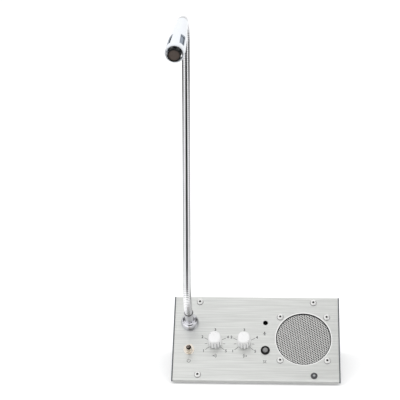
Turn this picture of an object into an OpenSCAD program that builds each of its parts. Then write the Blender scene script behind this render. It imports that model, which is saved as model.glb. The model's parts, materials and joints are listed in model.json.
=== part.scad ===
// Teller window intercom: a sloped desk console with a loudspeaker, two level knobs, a power
// toggle, a lamp, a small panel microphone and a talk microphone on a chromed gooseneck.
// Millimetres, +Z up. The user sits at -Y, the panel slopes up and away from them.
// The origin is the centre of the object's bounding box, at the height of the counter.

/* [Case] */
// Width of the brushed panel between the side cheeks
panel_w = 172; // [150:1:220]
// Length of the sloping face, front bend to top bend
panel_len = 94; // [88:1:120]
// Slope of the panel above the counter, degrees
slope = 40; // [35:1:48]
// Height of the front lip
lip_h = 3; // [2.5:0.25:8]
// How far the top bend starts short of the face's end
ridge_set = 1.3; // [0.5:0.1:3]
// Length of the panel's rear flange
rear_flange = 12; // [8:0.5:20]
// Thickness of the brushed panel sheet
panel_t = 1.5; // [1:0.1:2]
// Outer radius of the panel's bends
bend_r = 2.2; // [2:0.1:3]
// Thickness of the case sheet
case_t = 1.2; // [0.8:0.1:2]
// Seam between panel and cheeks
seam = 0.2; // [0.1:0.05:0.5]
// Width of the two rails that the panel is screwed to
rail_w = 8.4; // [7.6:0.2:9]
// Thickness of the rails
rail_t = 1.5; // [1:0.1:2]
// Number of vent slots in the rear wall
vent_count = 9; // [5:1:10]
// Height of a vent slot
vent_h = 18; // [12:1:22]
// Width of a vent slot
vent_w = 2.4; // [2:0.1:3]
// Pitch of the vent slots
vent_pitch = 6; // [5:0.5:7]

/* [Feet] */
// Height of a rubber foot
foot_h = 2; // [2:0.25:6]
// Diameter of a rubber foot
foot_d = 12; // [10:0.5:14]
// Inset of the feet from the case's edges
foot_inset = 12; // [9:0.5:20]

/* [Screws] */
// Diameter of the panel screws' button heads
head_d = 7.2; // [6:0.1:7.6]
// Height of the button heads
head_h = 1.9; // [1.5:0.1:2.5]
// Thread diameter of the panel screws
screw_d = 4; // [3:0.1:4]
// Radial clearance of a screw in its panel hole
screw_gap = 0.2; // [0.1:0.05:0.4]
// Radial clearance of a thread in its tapped hole or nut
thread_gap = 0.05; // [0.03:0.01:0.08]
// Distance across the flats of a hexagon socket
socket_af = 2.5; // [2:0.1:2.6]
// Half the spacing of the cover screws across the panel
cover_x = 60.2; // [50:0.1:64]
// Half the spacing of the cover screws along the slope
cover_u = 41.2; // [38:0.1:41.2]

/* [Loudspeaker] */
// Centre of the loudspeaker across the panel
speaker_x = 49.6; // [48:0.1:50]
// Diameter of the round opening
opening_d = 57.4; // [50:0.1:58]
// Side of the square speaker frame
frame_side = 62; // [60:0.5:64]
// Half the pitch of the speaker's screws
speaker_pitch = 24.4; // [24:0.1:25]
// Thickness of the perforated sheet
mesh_t = 0.6; // [0.5:0.1:1]
// Hole pitch of the perforated sheet
mesh_pitch = 3.3; // [3.2:0.1:5]
// Hole diameter of the perforated sheet
mesh_hole = 2; // [1.5:0.1:2.2]
// Depth of the pressed basket
basket_h = 10; // [8:0.5:12]
// Diameter of the magnet
magnet_d = 32; // [28:1:34]
// Thickness of the magnet
magnet_h = 7; // [5:0.5:8]
// Diameter of the voice coil
coil_d = 14; // [12:0.5:16]
// Half the cone's stroke
stroke = 0.8; // [0.5:0.1:1]

/* [Knobs] */
// Centre of the left knob across the panel
knob_left_x = -43; // [-46:0.1:-42]
// Centre of the right knob across the panel
knob_right_x = -12.5; // [-14:0.1:-11]
// Height of the knobs along the slope, from the panel's centre
knob_u = -5.6; // [-9:0.1:0]
// Diameter of a knob
knob_d = 14; // [14:0.1:18]
// Height of a knob
knob_h = 15.6; // [14:0.1:18]
// Number of flutes round a knob
flutes = 12; // [8:1:16]
// Diameter of the control's shaft
shaft_d = 6; // [5:0.1:6]
// Diameter of the control's threaded bushing
bushing_d = 8; // [7.6:0.1:8]
// Diameter of the control's can
pot_d = 16; // [14:0.5:20]
// Depth of the control's can
pot_h = 9; // [7:0.5:10]
// Running clearance round the shaft
run_gap = 0.05; // [0.02:0.01:0.08]

/* [Power switch] */
// Centre of the switch across the panel
switch_x = -70; // [-72:0.1:-68]
// Height of the switch along the slope
switch_u = -13.4; // [-16:0.1:-10]
// Diameter of the switch's bushing
switch_bush_d = 6; // [5.6:0.1:6.4]
// Height of the bushing above the panel
switch_bush_h = 6; // [4:0.5:8]
// Distance across the flats of the nut
switch_nut_af = 8; // [7.8:0.1:9]
// Outer diameter of the washer
switch_washer_d = 11.4; // [10:0.1:12]
// Length of the lever above its pivot
lever_l = 13; // [10:0.5:15]
// Angle of the lever from upright, down at rest
lever_tilt = 14; // [10:1:15]

/* [Lamp and panel microphone] */
// Centre of the lamp and of the panel microphone across the panel
lamp_x = 9.7; // [8:0.1:11]
// Height of the lamp along the slope
lamp_u = -13.5; // [-18:0.1:-10]
// Diameter of the lamp's bezel
bezel_d = 9.6; // [8.6:0.1:11]
// Diameter of the lamp's lens
lens_d = 6; // [5:0.1:6.2]
// Height of the panel microphone's hole along the slope
hole_u = 17.6; // [14:0.1:22]
// Diameter of the panel microphone's hole
hole_d = 5.2; // [4:0.1:6]

/* [Gooseneck] */
// Centre of the neck's flange across the panel
neck_x = -70; // [-72:0.1:-68]
// Height of the flange along the slope
neck_u = 17; // [14:0.1:22]
// Diameter over the ribs
neck_d = 8.4; // [7:0.1:9]
// Depth of the groove between two ribs
groove = 0.38; // [0.2:0.02:0.5]
// Diameter of the neck's bore
neck_bore = 5; // [4:0.1:5.5]
// Pitch of the ribs, as it aims for
rib_pitch = 2.15; // [2.15:0.05:4]
// Straight length from the panel to the lower bend
neck_straight = 30; // [28:1:40]
// Radius of the lower bend
bend_low_r = 45; // [35:1:60]
// Backward lean of the stem, degrees
lean_back = 5; // [0:0.5:10]
// Sideways lean of the stem, degrees
lean_side = 0.7; // [0:0.1:3]
// Length of the straight stem
stem_l = 250; // [180:1:260]
// Radius of the crook at the top
crook_r = 25; // [20:1:40]
// Turn of the crook, degrees
crook_turn = 104.4; // [80:0.1:125]
// Turn of the crook towards the user's left, degrees
crook_yaw = 1.5; // [0:0.1:10]
// Length of each flexing stretch
flex_l = 26; // [20:1:30]
// Diameter of the flange's dome
dome_d = 19; // [17:0.5:22]
// Height of the dome
dome_h = 8.5; // [5:0.5:9]
// Diameter of the sleeve that holds the neck
sleeve_d = 9.6; // [9.4:0.1:12]
// Height of the sleeve's rim above the panel
sleeve_h = 26.5; // [20:0.5:28]
// Diameter of the flange's threaded stud
stud_d = 10; // [9:0.5:10]

/* [Microphone] */
// Length of the microphone, neck end to capsule
mic_l = 76; // [70:1:90]
// Diameter at the rear end
mic_rear_d = 10.6; // [10:0.1:12]
// Diameter at the step between rear cone and front section
mic_step_d = 15.2; // [14:0.1:16]
// Diameter at the mouth
mic_front_d = 18; // [17:0.1:20]
// Length of the rear cone
mic_cone_l = 38; // [30:1:42]
// Diameter of the mouth's bore
mouth_d = 14.6; // [13.6:0.1:15]
// Depth of the front step of the housing behind the capsule's face
mouth_back = 2; // [1:0.1:4]
// Number of side slots
slot_count = 4; // [3:1:6]
// Length of a side slot
slot_l = 21; // [14:1:22]
// Width of a side slot
slot_w = 5.4; // [3:0.1:6]
// Diameter of the capsule's black boot
boot_d = 12.3; // [11:0.1:12.6]
// Diameter of the capsule
capsule_d = 9.9; // [9:0.1:10]
// Sideways offset of the boot in the mouth
boot_shift = 0.7; // [0:0.1:0.8]

/* [Rear sockets] */
// Place of the power socket across the rear wall
socket_first_x = -30; // [-40:1:-10]
// Height of the sockets above the case's underside
socket_z = 22; // [18:1:28]
// Spacing of the sockets
socket_pitch = 20; // [16:1:24]
// Bore diameter of the sound sockets
jack_bore_d = 3.6; // [3.55:0.01:3.7]
// Thread diameter of the sound sockets
jack_d = 6; // [5.5:0.1:7]
// Thread diameter of the power socket
power_d = 8; // [7.5:0.1:9]

/* [Circuit board] */
// Place of the board across the case
board_x = -40; // [-44:1:-36]
// Width of the board
board_w = 86; // [70:1:90]
// Depth of the board
board_d = 36; // [30:1:40]
// Height of the board's spacers
spacer_h = 5; // [4:0.5:6]

/* [Hidden] */

$fn = 64;
eps = 0.01;
fn_small = 32;          // facets of small screws and pins

// the side profile, measured from the panel's centre
half_y = panel_len / 2 * cos(slope);
half_z = panel_len / 2 * sin(slope);
front_y = -half_y;
under_z = -half_z - lip_h;          // the case's underside
cheek_x = panel_w / 2 + seam;       // inner face of a cheek
tilt_front = 90 - slope;            // turn of the front bend
front_bend_y = front_y + bend_r;
front_bend_z = -half_z - bend_r * tan(tilt_front / 2);
lip_r = front_bend_z - under_z;     // radius of the lip's lower corners
ridge_u = panel_len / 2 - ridge_set;
ridge_y = ridge_u * cos(slope) + bend_r * sin(slope);
ridge_z = ridge_u * sin(slope) - bend_r * cos(slope);
back_y = ridge_y + bend_r;
flange_z = half_z - rear_flange;    // lower edge of the rear flange
wall_top = flange_z - seam;
floor_y = front_y + panel_t + seam;
vent_z = under_z + 12;
foot_screw_r = 1.4;
foot_head_r = 2.7;
foot_y = [front_y + foot_inset, back_y - foot_inset];
foot_x = panel_w / 2 - foot_inset;

// the stack under the panel, as heights along its normal
under_panel = -panel_t;
mesh_back = under_panel - mesh_t;
flange_t = 1.2;
flange_back = mesh_back - flange_t;
nut_t = 3.2;
nut_af = 7;

// the loudspeaker, from the mesh back to the yoke
cone_top_r = 22;
basket_wall = 0.8;
basket_top_r = 27.5;
basket_low_r = magnet_d / 2 + 0.5;
plate_t = 2;
basket_back = flange_back - basket_h;
plate_back = basket_back - plate_t;
magnet_back = plate_back - magnet_h;
yoke_back = magnet_back - plate_t;
coil_wall = 0.5;
coil_gap = 0.4;
cone_floor = stroke + 2.4;          // the cone's floor above the basket's back

// the controls: depths under the panel and heights over it
lever_ball_r = 2;
lever_pivot = 3.2;
lever_root_r = 1.1;
lever_tip_r = 1.45;
washer_t = 0.6;
switch_nut_t = 2;
switch_body_h = 10;
pot_nut_t = 2;
pot_nut_af = 10;
pot_wall = 1.5;
pot_top = 6;
knob_z = 0.9;
shaft_top = knob_z + knob_h - 3;
lamp_hole_d = bezel_d - 1.6;
mic_case_h = 8;
mic_case_r = 6.5;

// the board and the sockets, measured from the panel's centre
board_y = back_y - case_t - 3 - board_d / 2;
board_z = under_z + case_t + spacer_h;
board_t = 1.6;
spacer_x = board_w / 2 - 4;
spacer_y = board_d / 2 - 4;
socket_x = [for (i = [0 : 2]) socket_first_x - i * socket_pitch];
socket_height = under_z + socket_z;
socket_out = 3.2;                   // how far the sockets stand out behind
socket_body = 9;
socket_depth = 12;
jack_depth = 14;

// the neck's stations, as lengths along its centre line from the panel's face
neck_start = 12;
bend_low_l = bend_low_r * (slope + lean_back) * PI / 180;
stem_start = neck_straight + bend_low_l;
crook_start = stem_start + stem_l;
crook_l = crook_r * crook_turn * PI / 180;
neck_end = crook_start + crook_l;
root_pivot = neck_straight + bend_low_l / 2;
side_pivot = stem_start + 44;
top_pivot = crook_start + 8;
join = 0.1;                         // seam between a flexing and a stiff stretch

stem_dir = [sin(lean_side), cos(lean_side) * sin(lean_back), cos(lean_side) * cos(lean_back)];
crook_out = unit([-sin(crook_yaw), -cos(crook_yaw), 0]);
crook_dir = unit(crook_out - stem_dir * (crook_out * stem_dir));
neck_base = [neck_x, neck_u * cos(slope), neck_u * sin(slope)];
panel_normal = [0, -sin(slope), cos(slope)];
bend_low_centre = neck_base + neck_straight * panel_normal
    + bend_low_r * [0, cos(slope), sin(slope)];
stem_base = bend_low_centre - bend_low_r * [0, cos(lean_back), -sin(lean_back)];
crook_base = stem_base + stem_l * stem_dir;
crook_centre = crook_base + crook_r * crook_dir;

// the microphone's place, and the object's reach to the front
mouth_z = mic_l - mouth_back;
slot_z = mic_cone_l + 8;
mic_wall = 1.2;
mic_rear = neck_point(neck_end);
mic_dir = neck_heading(neck_end);
mic_tip_y = mic_rear[1] + mic_l * mic_dir[1] - boot_d / 2 * sqrt(1 - mic_dir[1] * mic_dir[1]);

// the panel's centre in the object's frame
centre_y = -(min(mic_tip_y, front_y) + back_y + socket_out) / 2;
centre_z = foot_h - under_z;

function unit(v) = v / norm(v);

// the centre line, as seen from the panel's centre
function neck_point(s) =
    s <= neck_straight ? neck_base + s * panel_normal :
    s <= stem_start ? let (a = (s - neck_straight) / bend_low_r * 180 / PI - slope)
        bend_low_centre - bend_low_r * [0, cos(a), -sin(a)] :
    s <= crook_start ? stem_base + (s - stem_start) * stem_dir :
    let (b = (s - crook_start) / crook_r * 180 / PI)
        crook_centre - crook_r * cos(b) * crook_dir + crook_r * sin(b) * stem_dir;

function neck_heading(s) =
    s <= neck_straight ? panel_normal :
    s <= stem_start ? let (a = (s - neck_straight) / bend_low_r * 180 / PI - slope)
        [0, sin(a), cos(a)] :
    s <= crook_start ? stem_dir :
    let (b = (s - crook_start) / crook_r * 180 / PI) cos(b) * stem_dir + sin(b) * crook_dir;

// one ring of points round the centre line
function ring(s, r, sides) =
    let (d = neck_heading(s), e = unit([1, 0, 0] - d * d[0]), g = cross(d, e), p = neck_point(s))
    [for (k = [0 : sides - 1]) p + r * cos(360 * k / sides) * e + r * sin(360 * k / sides) * g];

function arc(centre, r, from, to, steps = 6) =
    [for (i = [0 : steps]) centre + r * [cos(from + (to - from) * i / steps),
        sin(from + (to - from) * i / steps)]];

// outline of the case's side at a depth under its surface, front foot to rear foot
function skin(depth, r, rear_z) = concat(
    [[front_y + depth, under_z]],
    arc([front_bend_y, front_bend_z], r, 180, 90 + slope),
    arc([ridge_y, ridge_z], r, 90 + slope, 0, 12),
    [[back_y - depth, rear_z]]);

function reversed(list) = [for (i = [len(list) - 1 : -1 : 0]) list[i]];

// ---------- places ----------

module in_frame() {
    translate([0, centre_y, centre_z]) children();
}

module on_panel(x = 0, u = 0) {
    in_frame() rotate([slope, 0, 0]) translate([x, u, 0]) children();
}

module at_speaker() {
    on_panel(speaker_x, 0) children();
}

// +Z along the microphone, +Y to its upper side
module at_mic() {
    in_frame() translate(mic_rear)
        rotate(a = acos(mic_dir[2]), v = cross([0, 0, 1], mic_dir)) children();
}

module at_corners(x, y) {
    for (i = [-1, 1], j = [-1, 1]) translate([i * x, j * y, 0]) children();
}

// side profiles are drawn as [y, z] and extruded across the case
module across(width) {
    in_frame() rotate([90, 0, 90]) translate([0, 0, -width / 2]) linear_extrude(width) children();
}

// ---------- shared shapes ----------

module rounded_plate(w, d, t, r) {
    linear_extrude(t) union() {
        square([w - 2 * r, d], center = true);
        square([w, d - 2 * r], center = true);
        for (i = [-1, 1], j = [-1, 1]) translate([i * (w / 2 - r), j * (d / 2 - r)])
            circle(r, $fn = fn_small);
    }
}

module tube(outer_r, inner_r, h, fn = 64) {
    linear_extrude(h) difference() {
        circle(outer_r, $fn = fn);
        circle(inner_r, $fn = fn);
    }
}

module button_screw(shank_l) {
    dome_r = (head_d * head_d / 4 + head_h * head_h) / (2 * head_h);
    difference() {
        union() {
            intersection() {
                translate([0, 0, head_h - dome_r]) sphere(dome_r, $fn = 48);
                cylinder(h = head_h, r = head_d / 2 - 0.05, $fn = fn_small);
            }
            translate([0, 0, -shank_l]) cylinder(h = shank_l + eps, r = screw_d / 2, $fn = fn_small);
        }
        translate([0, 0, head_h - 1.2]) cylinder(h = 2, d = socket_af / cos(30), $fn = 6);
    }
}

module hex_nut(af, t, bore_r) {
    difference() {
        cylinder(h = t, d = af / cos(30), $fn = 6);
        translate([0, 0, -1]) cylinder(h = t + 2, r = bore_r, $fn = fn_small);
    }
}

// a stretch of ribbed neck with its bore, between two stations
module neck_stretch(from, to) {
    sides = 8;
    ribs = max(1, round((to - from) / rib_pitch));
    pitch = (to - from) / ribs;
    outside = concat(
        [for (i = [0 : ribs - 1], half = [0, 1])
            ring(from + (i + half / 2) * pitch, neck_d / 2 - (1 - half) * groove, sides)],
        [ring(to, neck_d / 2 - groove, sides)]);
    bore_steps = ceil((to - from) / 7);
    inside = [for (i = [bore_steps : -1 : 0])
        ring(from + (to - from) * i / bore_steps, neck_bore / 2, sides)];
    rings = concat(outside, inside);
    points = [for (r = rings, p = r) p];
    count = len(rings);
    faces = [for (i = [0 : count - 1], k = [0 : sides - 1], half = [0, 1])
        let (a = i * sides + k, b = i * sides + (k + 1) % sides,
            c = ((i + 1) % count) * sides + (k + 1) % sides, d = ((i + 1) % count) * sides + k)
        half == 0 ? [a, c, b] : [a, d, c]];
    in_frame() polyhedron(points = points, faces = faces);
}

// ---------- case ----------

module panel_holes() {
    depth = panel_t + 2;
    on_panel() translate([0, 0, under_panel - 1]) {
        at_corners(cover_x, cover_u) cylinder(h = depth, r = screw_d / 2 + screw_gap, $fn = fn_small);
        translate([speaker_x, 0, 0]) {
            cylinder(h = depth, d = opening_d, $fn = 96);
            at_corners(speaker_pitch, speaker_pitch)
                cylinder(h = depth, r = screw_d / 2 + screw_gap, $fn = fn_small);
        }
        for (x = [knob_left_x, knob_right_x]) translate([x, knob_u, 0])
            cylinder(h = depth, r = bushing_d / 2 + screw_gap, $fn = fn_small);
        translate([switch_x, switch_u, 0])
            cylinder(h = depth, r = switch_bush_d / 2 + screw_gap, $fn = fn_small);
        translate([lamp_x, lamp_u, 0]) cylinder(h = depth, d = lamp_hole_d, $fn = fn_small);
        translate([lamp_x, hole_u, 0]) cylinder(h = depth, d = hole_d, $fn = fn_small);
        translate([neck_x, neck_u, 0])
            cylinder(h = depth, r = stud_d / 2 + screw_gap, $fn = fn_small);
    }
}

// what is cut away to round the lower corners of the front lip
module lip_corners() {
    in_frame() for (side = [0, 1]) mirror([side, 0, 0])
        translate([panel_w / 2 - lip_r, front_y - 1, under_z - 1]) difference() {
            cube([lip_r + 1, panel_t + 2, lip_r + 1]);
            translate([0, -1, lip_r + 1]) rotate([-90, 0, 0])
                cylinder(h = panel_t + 4, r = lip_r, $fn = fn_small);
        }
}

module front_panel() {
    color([0.82, 0.83, 0.82]) difference() {
        across(panel_w) polygon(concat(skin(0, bend_r, flange_z),
            reversed(skin(panel_t, bend_r - panel_t, flange_z))));
        panel_holes();
        lip_corners();
    }
}

// a side plate, with a round nose behind the lip
module cheek() {
    outline = skin(0, bend_r, under_z);
    rotate([90, 0, 90]) linear_extrude(case_t) polygon(concat(
        arc([front_y + lip_r, under_z + lip_r], lip_r, 270, 180),
        [for (i = [2 : len(outline) - 1]) outline[i]]));
}

module base_case() {
    color([0.2, 0.21, 0.22]) difference() {
        in_frame() union() {
            translate([cheek_x, 0, 0]) cheek();
            translate([-cheek_x - case_t, 0, 0]) cheek();
            translate([-cheek_x - eps, floor_y, under_z])
                cube([2 * cheek_x + 2 * eps, back_y - floor_y, case_t]);
            translate([-cheek_x - eps, back_y - case_t, under_z])
                cube([2 * cheek_x + 2 * eps, case_t, wall_top - under_z]);
        }
        in_frame() {
            for (i = [0 : vent_count - 1])
                translate([speaker_x + (i - (vent_count - 1) / 2) * vent_pitch - vent_w / 2,
                    back_y - case_t - 1, vent_z]) cube([vent_w, case_t + 2, vent_h]);
            socket_holes();
        }
        at_feet() translate([0, 0, -1])
            cylinder(h = foot_h + case_t + 2, r = foot_screw_r + thread_gap, $fn = fn_small);
    }
}

// a rail under the panel, welded between the cheeks and tapped for the cover screws
module rail(u) {
    color([0.55, 0.56, 0.57]) on_panel(0, u) translate([0, 0, under_panel - rail_t]) difference() {
        translate([-cheek_x, -rail_w / 2, 0]) cube([2 * cheek_x, rail_w, rail_t]);
        for (x = [-cover_x, cover_x]) translate([x, 0, -1])
            cylinder(h = rail_t + 2, r = screw_d / 2 + thread_gap, $fn = fn_small);
    }
}

module cover_screws() {
    color([0.85, 0.85, 0.85]) on_panel() at_corners(cover_x, cover_u)
        button_screw(panel_t + rail_t + 1.5);
}

// ---------- feet ----------

module at_feet() {
    for (i = [0 : 3]) at_foot(i) children();
}

module at_foot(i) {
    translate([i % 2 == 0 ? -foot_x : foot_x, centre_y + foot_y[floor(i / 2)], 0]) children();
}

module foot(i) {
    color([0.08, 0.08, 0.08]) at_foot(i) difference() {
        cylinder(h = foot_h, d1 = foot_d - 1.5, d2 = foot_d);
        translate([0, 0, -1]) cylinder(h = foot_h + 2, r = foot_screw_r + 0.1, $fn = fn_small);
        translate([0, 0, -1]) cylinder(h = 2, r = foot_head_r + 0.3, $fn = fn_small);
    }
}

module foot_screws() {
    color([0.7, 0.7, 0.7]) at_feet() {
        translate([0, 0, 0.5]) cylinder(h = 0.5 - 0.02, r = foot_head_r, $fn = fn_small);
        translate([0, 0, 0.9]) cylinder(h = foot_h + case_t + 1, r = foot_screw_r, $fn = fn_small);
    }
}

// ---------- loudspeaker ----------

module speaker_plate(t, hole_r) {
    difference() {
        rounded_plate(frame_side, frame_side, t, 5);
        at_corners(speaker_pitch, speaker_pitch) translate([0, 0, -1])
            cylinder(h = t + 2, r = hole_r, $fn = fn_small);
    }
}

module speaker_mesh() {
    row = mesh_pitch * sqrt(3) / 2;
    reach = opening_d / 2 - mesh_hole / 2 - 0.6;
    rows = ceil(reach / row);
    columns = ceil(reach / mesh_pitch);
    color([0.6, 0.6, 0.58]) at_speaker() translate([0, 0, mesh_back])
        linear_extrude(mesh_t) difference() {
            square(frame_side, center = true);
            for (j = [-rows : rows], i = [-columns : columns])
                let (x = (i + (abs(j) % 2) / 2) * mesh_pitch, y = j * row)
                if (x * x + y * y < reach * reach) translate([x, y]) circle(d = mesh_hole, $fn = 16);
            for (i = [-1, 1], j = [-1, 1]) translate([i * speaker_pitch, j * speaker_pitch])
                circle(screw_d / 2 + screw_gap, $fn = fn_small);
        }
}

module speaker_screws() {
    color([0.85, 0.85, 0.85]) at_speaker() at_corners(speaker_pitch, speaker_pitch)
        button_screw(-flange_back + nut_t + 1);
}

module speaker_nuts() {
    color([0.7, 0.7, 0.68]) at_speaker() translate([0, 0, flange_back - nut_t])
        at_corners(speaker_pitch, speaker_pitch) hex_nut(nut_af, nut_t, screw_d / 2 + thread_gap);
}

module speaker_basket() {
    color([0.3, 0.31, 0.33]) at_speaker() difference() {
        union() {
            translate([0, 0, flange_back]) speaker_plate(flange_t, screw_d / 2 + screw_gap);
            rotate_extrude() polygon([[0, basket_back], [basket_low_r, basket_back],
                [basket_top_r, flange_back + eps], [0, flange_back + eps]]);
        }
        rotate_extrude() polygon([[0, basket_back + basket_wall],
            [basket_low_r - basket_wall, basket_back + basket_wall],
            [basket_top_r - basket_wall, flange_back],
            [basket_top_r - basket_wall, mesh_back + 1], [0, mesh_back + 1]]);
        translate([0, 0, basket_back - 1]) cylinder(h = 3, r = coil_d / 2 + coil_gap + 1);
        for (a = [0 : 90 : 270]) rotate([0, 0, a + 45])
            translate([14, -5, basket_back + 2]) cube([18, 10, basket_h - 4]);
    }
}

// the soft roll that carries the cone's rim
module speaker_surround() {
    color([0.06, 0.06, 0.06]) at_speaker() translate([0, 0, flange_back]) rotate_extrude() polygon([
        [cone_top_r + 0.1, -0.6], [cone_top_r + 0.1, -0.15], [cone_top_r + 1.4, 0.75],
        [cone_top_r + 2.6, 0.75], [cone_top_r + 3.2, 0.5], [cone_top_r + 4.5, 0.5],
        [cone_top_r + 4.5, 0.05], [cone_top_r + 3.4, 0.05], [cone_top_r + 2.4, 0.35],
        [cone_top_r + 1.6, 0.35]]);
}

module speaker_cone() {
    cap_r = coil_d / 2 + 1.2;
    low = basket_back + cone_floor;
    color([0.1, 0.1, 0.1]) at_speaker() rotate_extrude() polygon(concat(
        [[cone_top_r, flange_back - 0.1], [cone_top_r, flange_back - 0.8], [coil_d / 2, low],
            [0, low], [0, low + 3.6]],
        [for (i = [1 : 6]) [cap_r * i / 6, low + 1.4 + 2.2 * cos(90 * i / 6)]]));
}

module speaker_coil() {
    low = plate_back - stroke - 0.4;
    color([0.72, 0.42, 0.2]) at_speaker() translate([0, 0, low])
        tube(coil_d / 2, coil_d / 2 - coil_wall, basket_back + cone_floor - low);
}

// the soft disc that centres the coil
module speaker_spider() {
    color([0.75, 0.6, 0.3]) at_speaker() translate([0, 0, basket_back + 0.9])
        tube(basket_low_r - 1.4, coil_d / 2 + 0.05, 0.5);
}

module speaker_magnet() {
    color([0.2, 0.2, 0.21]) at_speaker() translate([0, 0, magnet_back])
        tube(magnet_d / 2, magnet_d / 2 - 5.5, magnet_h);
}

// front plate, and back plate with its pole, on either side of the magnet
module speaker_yoke() {
    gap_r = coil_d / 2 + coil_gap;
    color([0.65, 0.65, 0.66]) at_speaker() {
        translate([0, 0, plate_back]) tube(magnet_d / 2 - 0.5, gap_r, plate_t);
        translate([0, 0, yoke_back]) cylinder(h = plate_t, d = magnet_d - 1);
        translate([0, 0, yoke_back + 1])
            cylinder(h = basket_back - yoke_back - 1, r = coil_d / 2 - coil_wall - coil_gap);
    }
}

// ---------- gooseneck ----------

module neck_flange() {
    shoulder = 2;
    color([0.88, 0.88, 0.9]) on_panel(neck_x, neck_u) difference() {
        union() {
            rotate_extrude() polygon(concat([[0, 0]], [[dome_d / 2, 0], [dome_d / 2, 1]],
                [for (i = [0 : 10]) let (a = 90 * i / 10)
                    [sleeve_d / 2 + 0.4 + (dome_d / 2 - sleeve_d / 2 - 0.4) * cos(a),
                    1 + (dome_h - 1) * sin(a)]],
                [[sleeve_d / 2, dome_h + 0.4], [sleeve_d / 2, sleeve_h - 0.6],
                    [sleeve_d / 2 - 0.6, sleeve_h], [0, sleeve_h]]));
            translate([0, 0, under_panel - 10]) cylinder(h = 10 - under_panel, d = stud_d);
        }
        translate([0, 0, neck_start - 0.1]) cylinder(h = sleeve_h, r = neck_d / 2 + 0.1);
        translate([0, 0, under_panel - 11]) cylinder(h = sleeve_h + 20, r = neck_d / 2 - shoulder);
    }
}

module neck_nut() {
    color([0.7, 0.7, 0.68]) on_panel(neck_x, neck_u) translate([0, 0, under_panel - 5])
        hex_nut(stud_d + 4, 5, stud_d / 2 + thread_gap);
}

module neck_root() {
    color([0.85, 0.85, 0.87]) neck_stretch(neck_start, root_pivot - flex_l / 2);
}

module neck_flex_root() {
    color([0.85, 0.85, 0.87]) neck_stretch(root_pivot - flex_l / 2 + join, root_pivot + flex_l / 2 - join);
}

module neck_lower() {
    color([0.85, 0.85, 0.87]) neck_stretch(root_pivot + flex_l / 2, side_pivot - flex_l / 2);
}

module neck_flex_side() {
    color([0.85, 0.85, 0.87]) neck_stretch(side_pivot - flex_l / 2 + join, side_pivot + flex_l / 2 - join);
}

module neck_stem() {
    color([0.85, 0.85, 0.87]) neck_stretch(side_pivot + flex_l / 2, top_pivot - flex_l / 2);
}

module neck_flex_top() {
    color([0.85, 0.85, 0.87]) neck_stretch(top_pivot - flex_l / 2 + join, top_pivot + flex_l / 2 - join);
}

module neck_crook() {
    color([0.85, 0.85, 0.87]) neck_stretch(top_pivot + flex_l / 2, neck_end);
}

// ---------- microphone ----------

module mic_end_ring() {
    color([0.6, 0.6, 0.62]) at_mic() translate([0, 0, -1.5])
        tube(mic_rear_d / 2 - 0.3, neck_d / 2 + 0.1, 3);
}

module mic_rear_cone() {
    color([0.93, 0.93, 0.94]) at_mic() rotate_extrude() polygon([
        [neck_bore / 2, 1.5 + eps], [mic_rear_d / 2, 1.5 + eps], [mic_step_d / 2, mic_cone_l],
        [mic_step_d / 2 - 1.6, mic_cone_l], [mic_step_d / 2 - 1.6, mic_cone_l - 12],
        [neck_bore / 2, 8]]);
}

// the front section: open at its mouth, with long slots in its sides
module mic_housing() {
    front_r = mic_front_d / 2;
    step_r = mic_step_d / 2 + 0.3;
    color([0.93, 0.93, 0.94]) at_mic() difference() {
        rotate_extrude() polygon([
            [step_r - mic_wall, mic_cone_l], [step_r, mic_cone_l],
            [front_r, mouth_z - 10], [front_r, mouth_z - 0.8], [front_r - 0.8, mouth_z],
            [mouth_d / 2 + 0.4, mouth_z], [mouth_d / 2, mouth_z - 0.4],
            [mouth_d / 2, mouth_z - 4.5],
            [front_r - mic_wall, mouth_z - 7], [front_r - mic_wall, mouth_z - 10]]);
        for (i = [0 : slot_count - 1]) rotate([0, 0, 45 + 360 * i / slot_count])
            translate([5, -slot_w / 2, slot_z]) cube([8, slot_w, slot_l]);
    }
}

// the grey lining that shows through the slots
module mic_liner() {
    r = mic_step_d / 2 + 0.3 - mic_wall - 0.15;
    color([0.5, 0.52, 0.55]) at_mic() translate([0, 0, mic_cone_l + 0.1])
        tube(r, r - 0.8, mouth_z - 7 - mic_cone_l);
}

module mic_boot() {
    holder_r = mic_step_d / 2 + 0.3 - mic_wall - 1.05;
    color([0.03, 0.03, 0.03]) at_mic() difference() {
        union() {
            translate([0, 0, mouth_z - 20]) cylinder(h = 13.2, r = holder_r);
            translate([-boot_shift / 2, -boot_shift, mouth_z - 6.8])
                cylinder(h = 6.8 + mouth_back, d = boot_d);
        }
        translate([-boot_shift / 2, -boot_shift, mic_l - 6]) cylinder(h = 7, d = capsule_d + 0.2);
    }
}

module mic_capsule() {
    color([0.28, 0.24, 0.22]) at_mic() translate([-boot_shift / 2, -boot_shift, mic_l - 6 + 0.02])
        cylinder(h = 5.4, d = capsule_d);
}

// ---------- panel microphone and lamp ----------

module panel_mic_boot() {
    color([0.05, 0.05, 0.05]) on_panel(lamp_x, hole_u)
        translate([0, 0, under_panel - mic_case_h]) difference() {
            cylinder(h = mic_case_h, r = mic_case_r);
            translate([0, 0, 1.5]) cylinder(h = mic_case_h, r = mic_case_r - 1.55);
        }
}

module panel_mic_capsule() {
    color([0.1, 0.1, 0.1]) on_panel(lamp_x, hole_u)
        translate([0, 0, under_panel - mic_case_h + 1.52])
            cylinder(h = mic_case_h - 2, r = mic_case_r - 1.65);
}

module lamp_bezel() {
    color([0.04, 0.04, 0.04]) on_panel(lamp_x, lamp_u) difference() {
        rotate_extrude() polygon([[0, -8], [lamp_hole_d / 2 - 0.1, -8], [lamp_hole_d / 2 - 0.1, 0],
            [bezel_d / 2, 0], [bezel_d / 2, 0.9], [bezel_d / 2 - 0.7, 1.7], [0, 1.7]]);
        translate([0, 0, -9]) cylinder(h = 12, d = lens_d + 0.2);
    }
}

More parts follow.
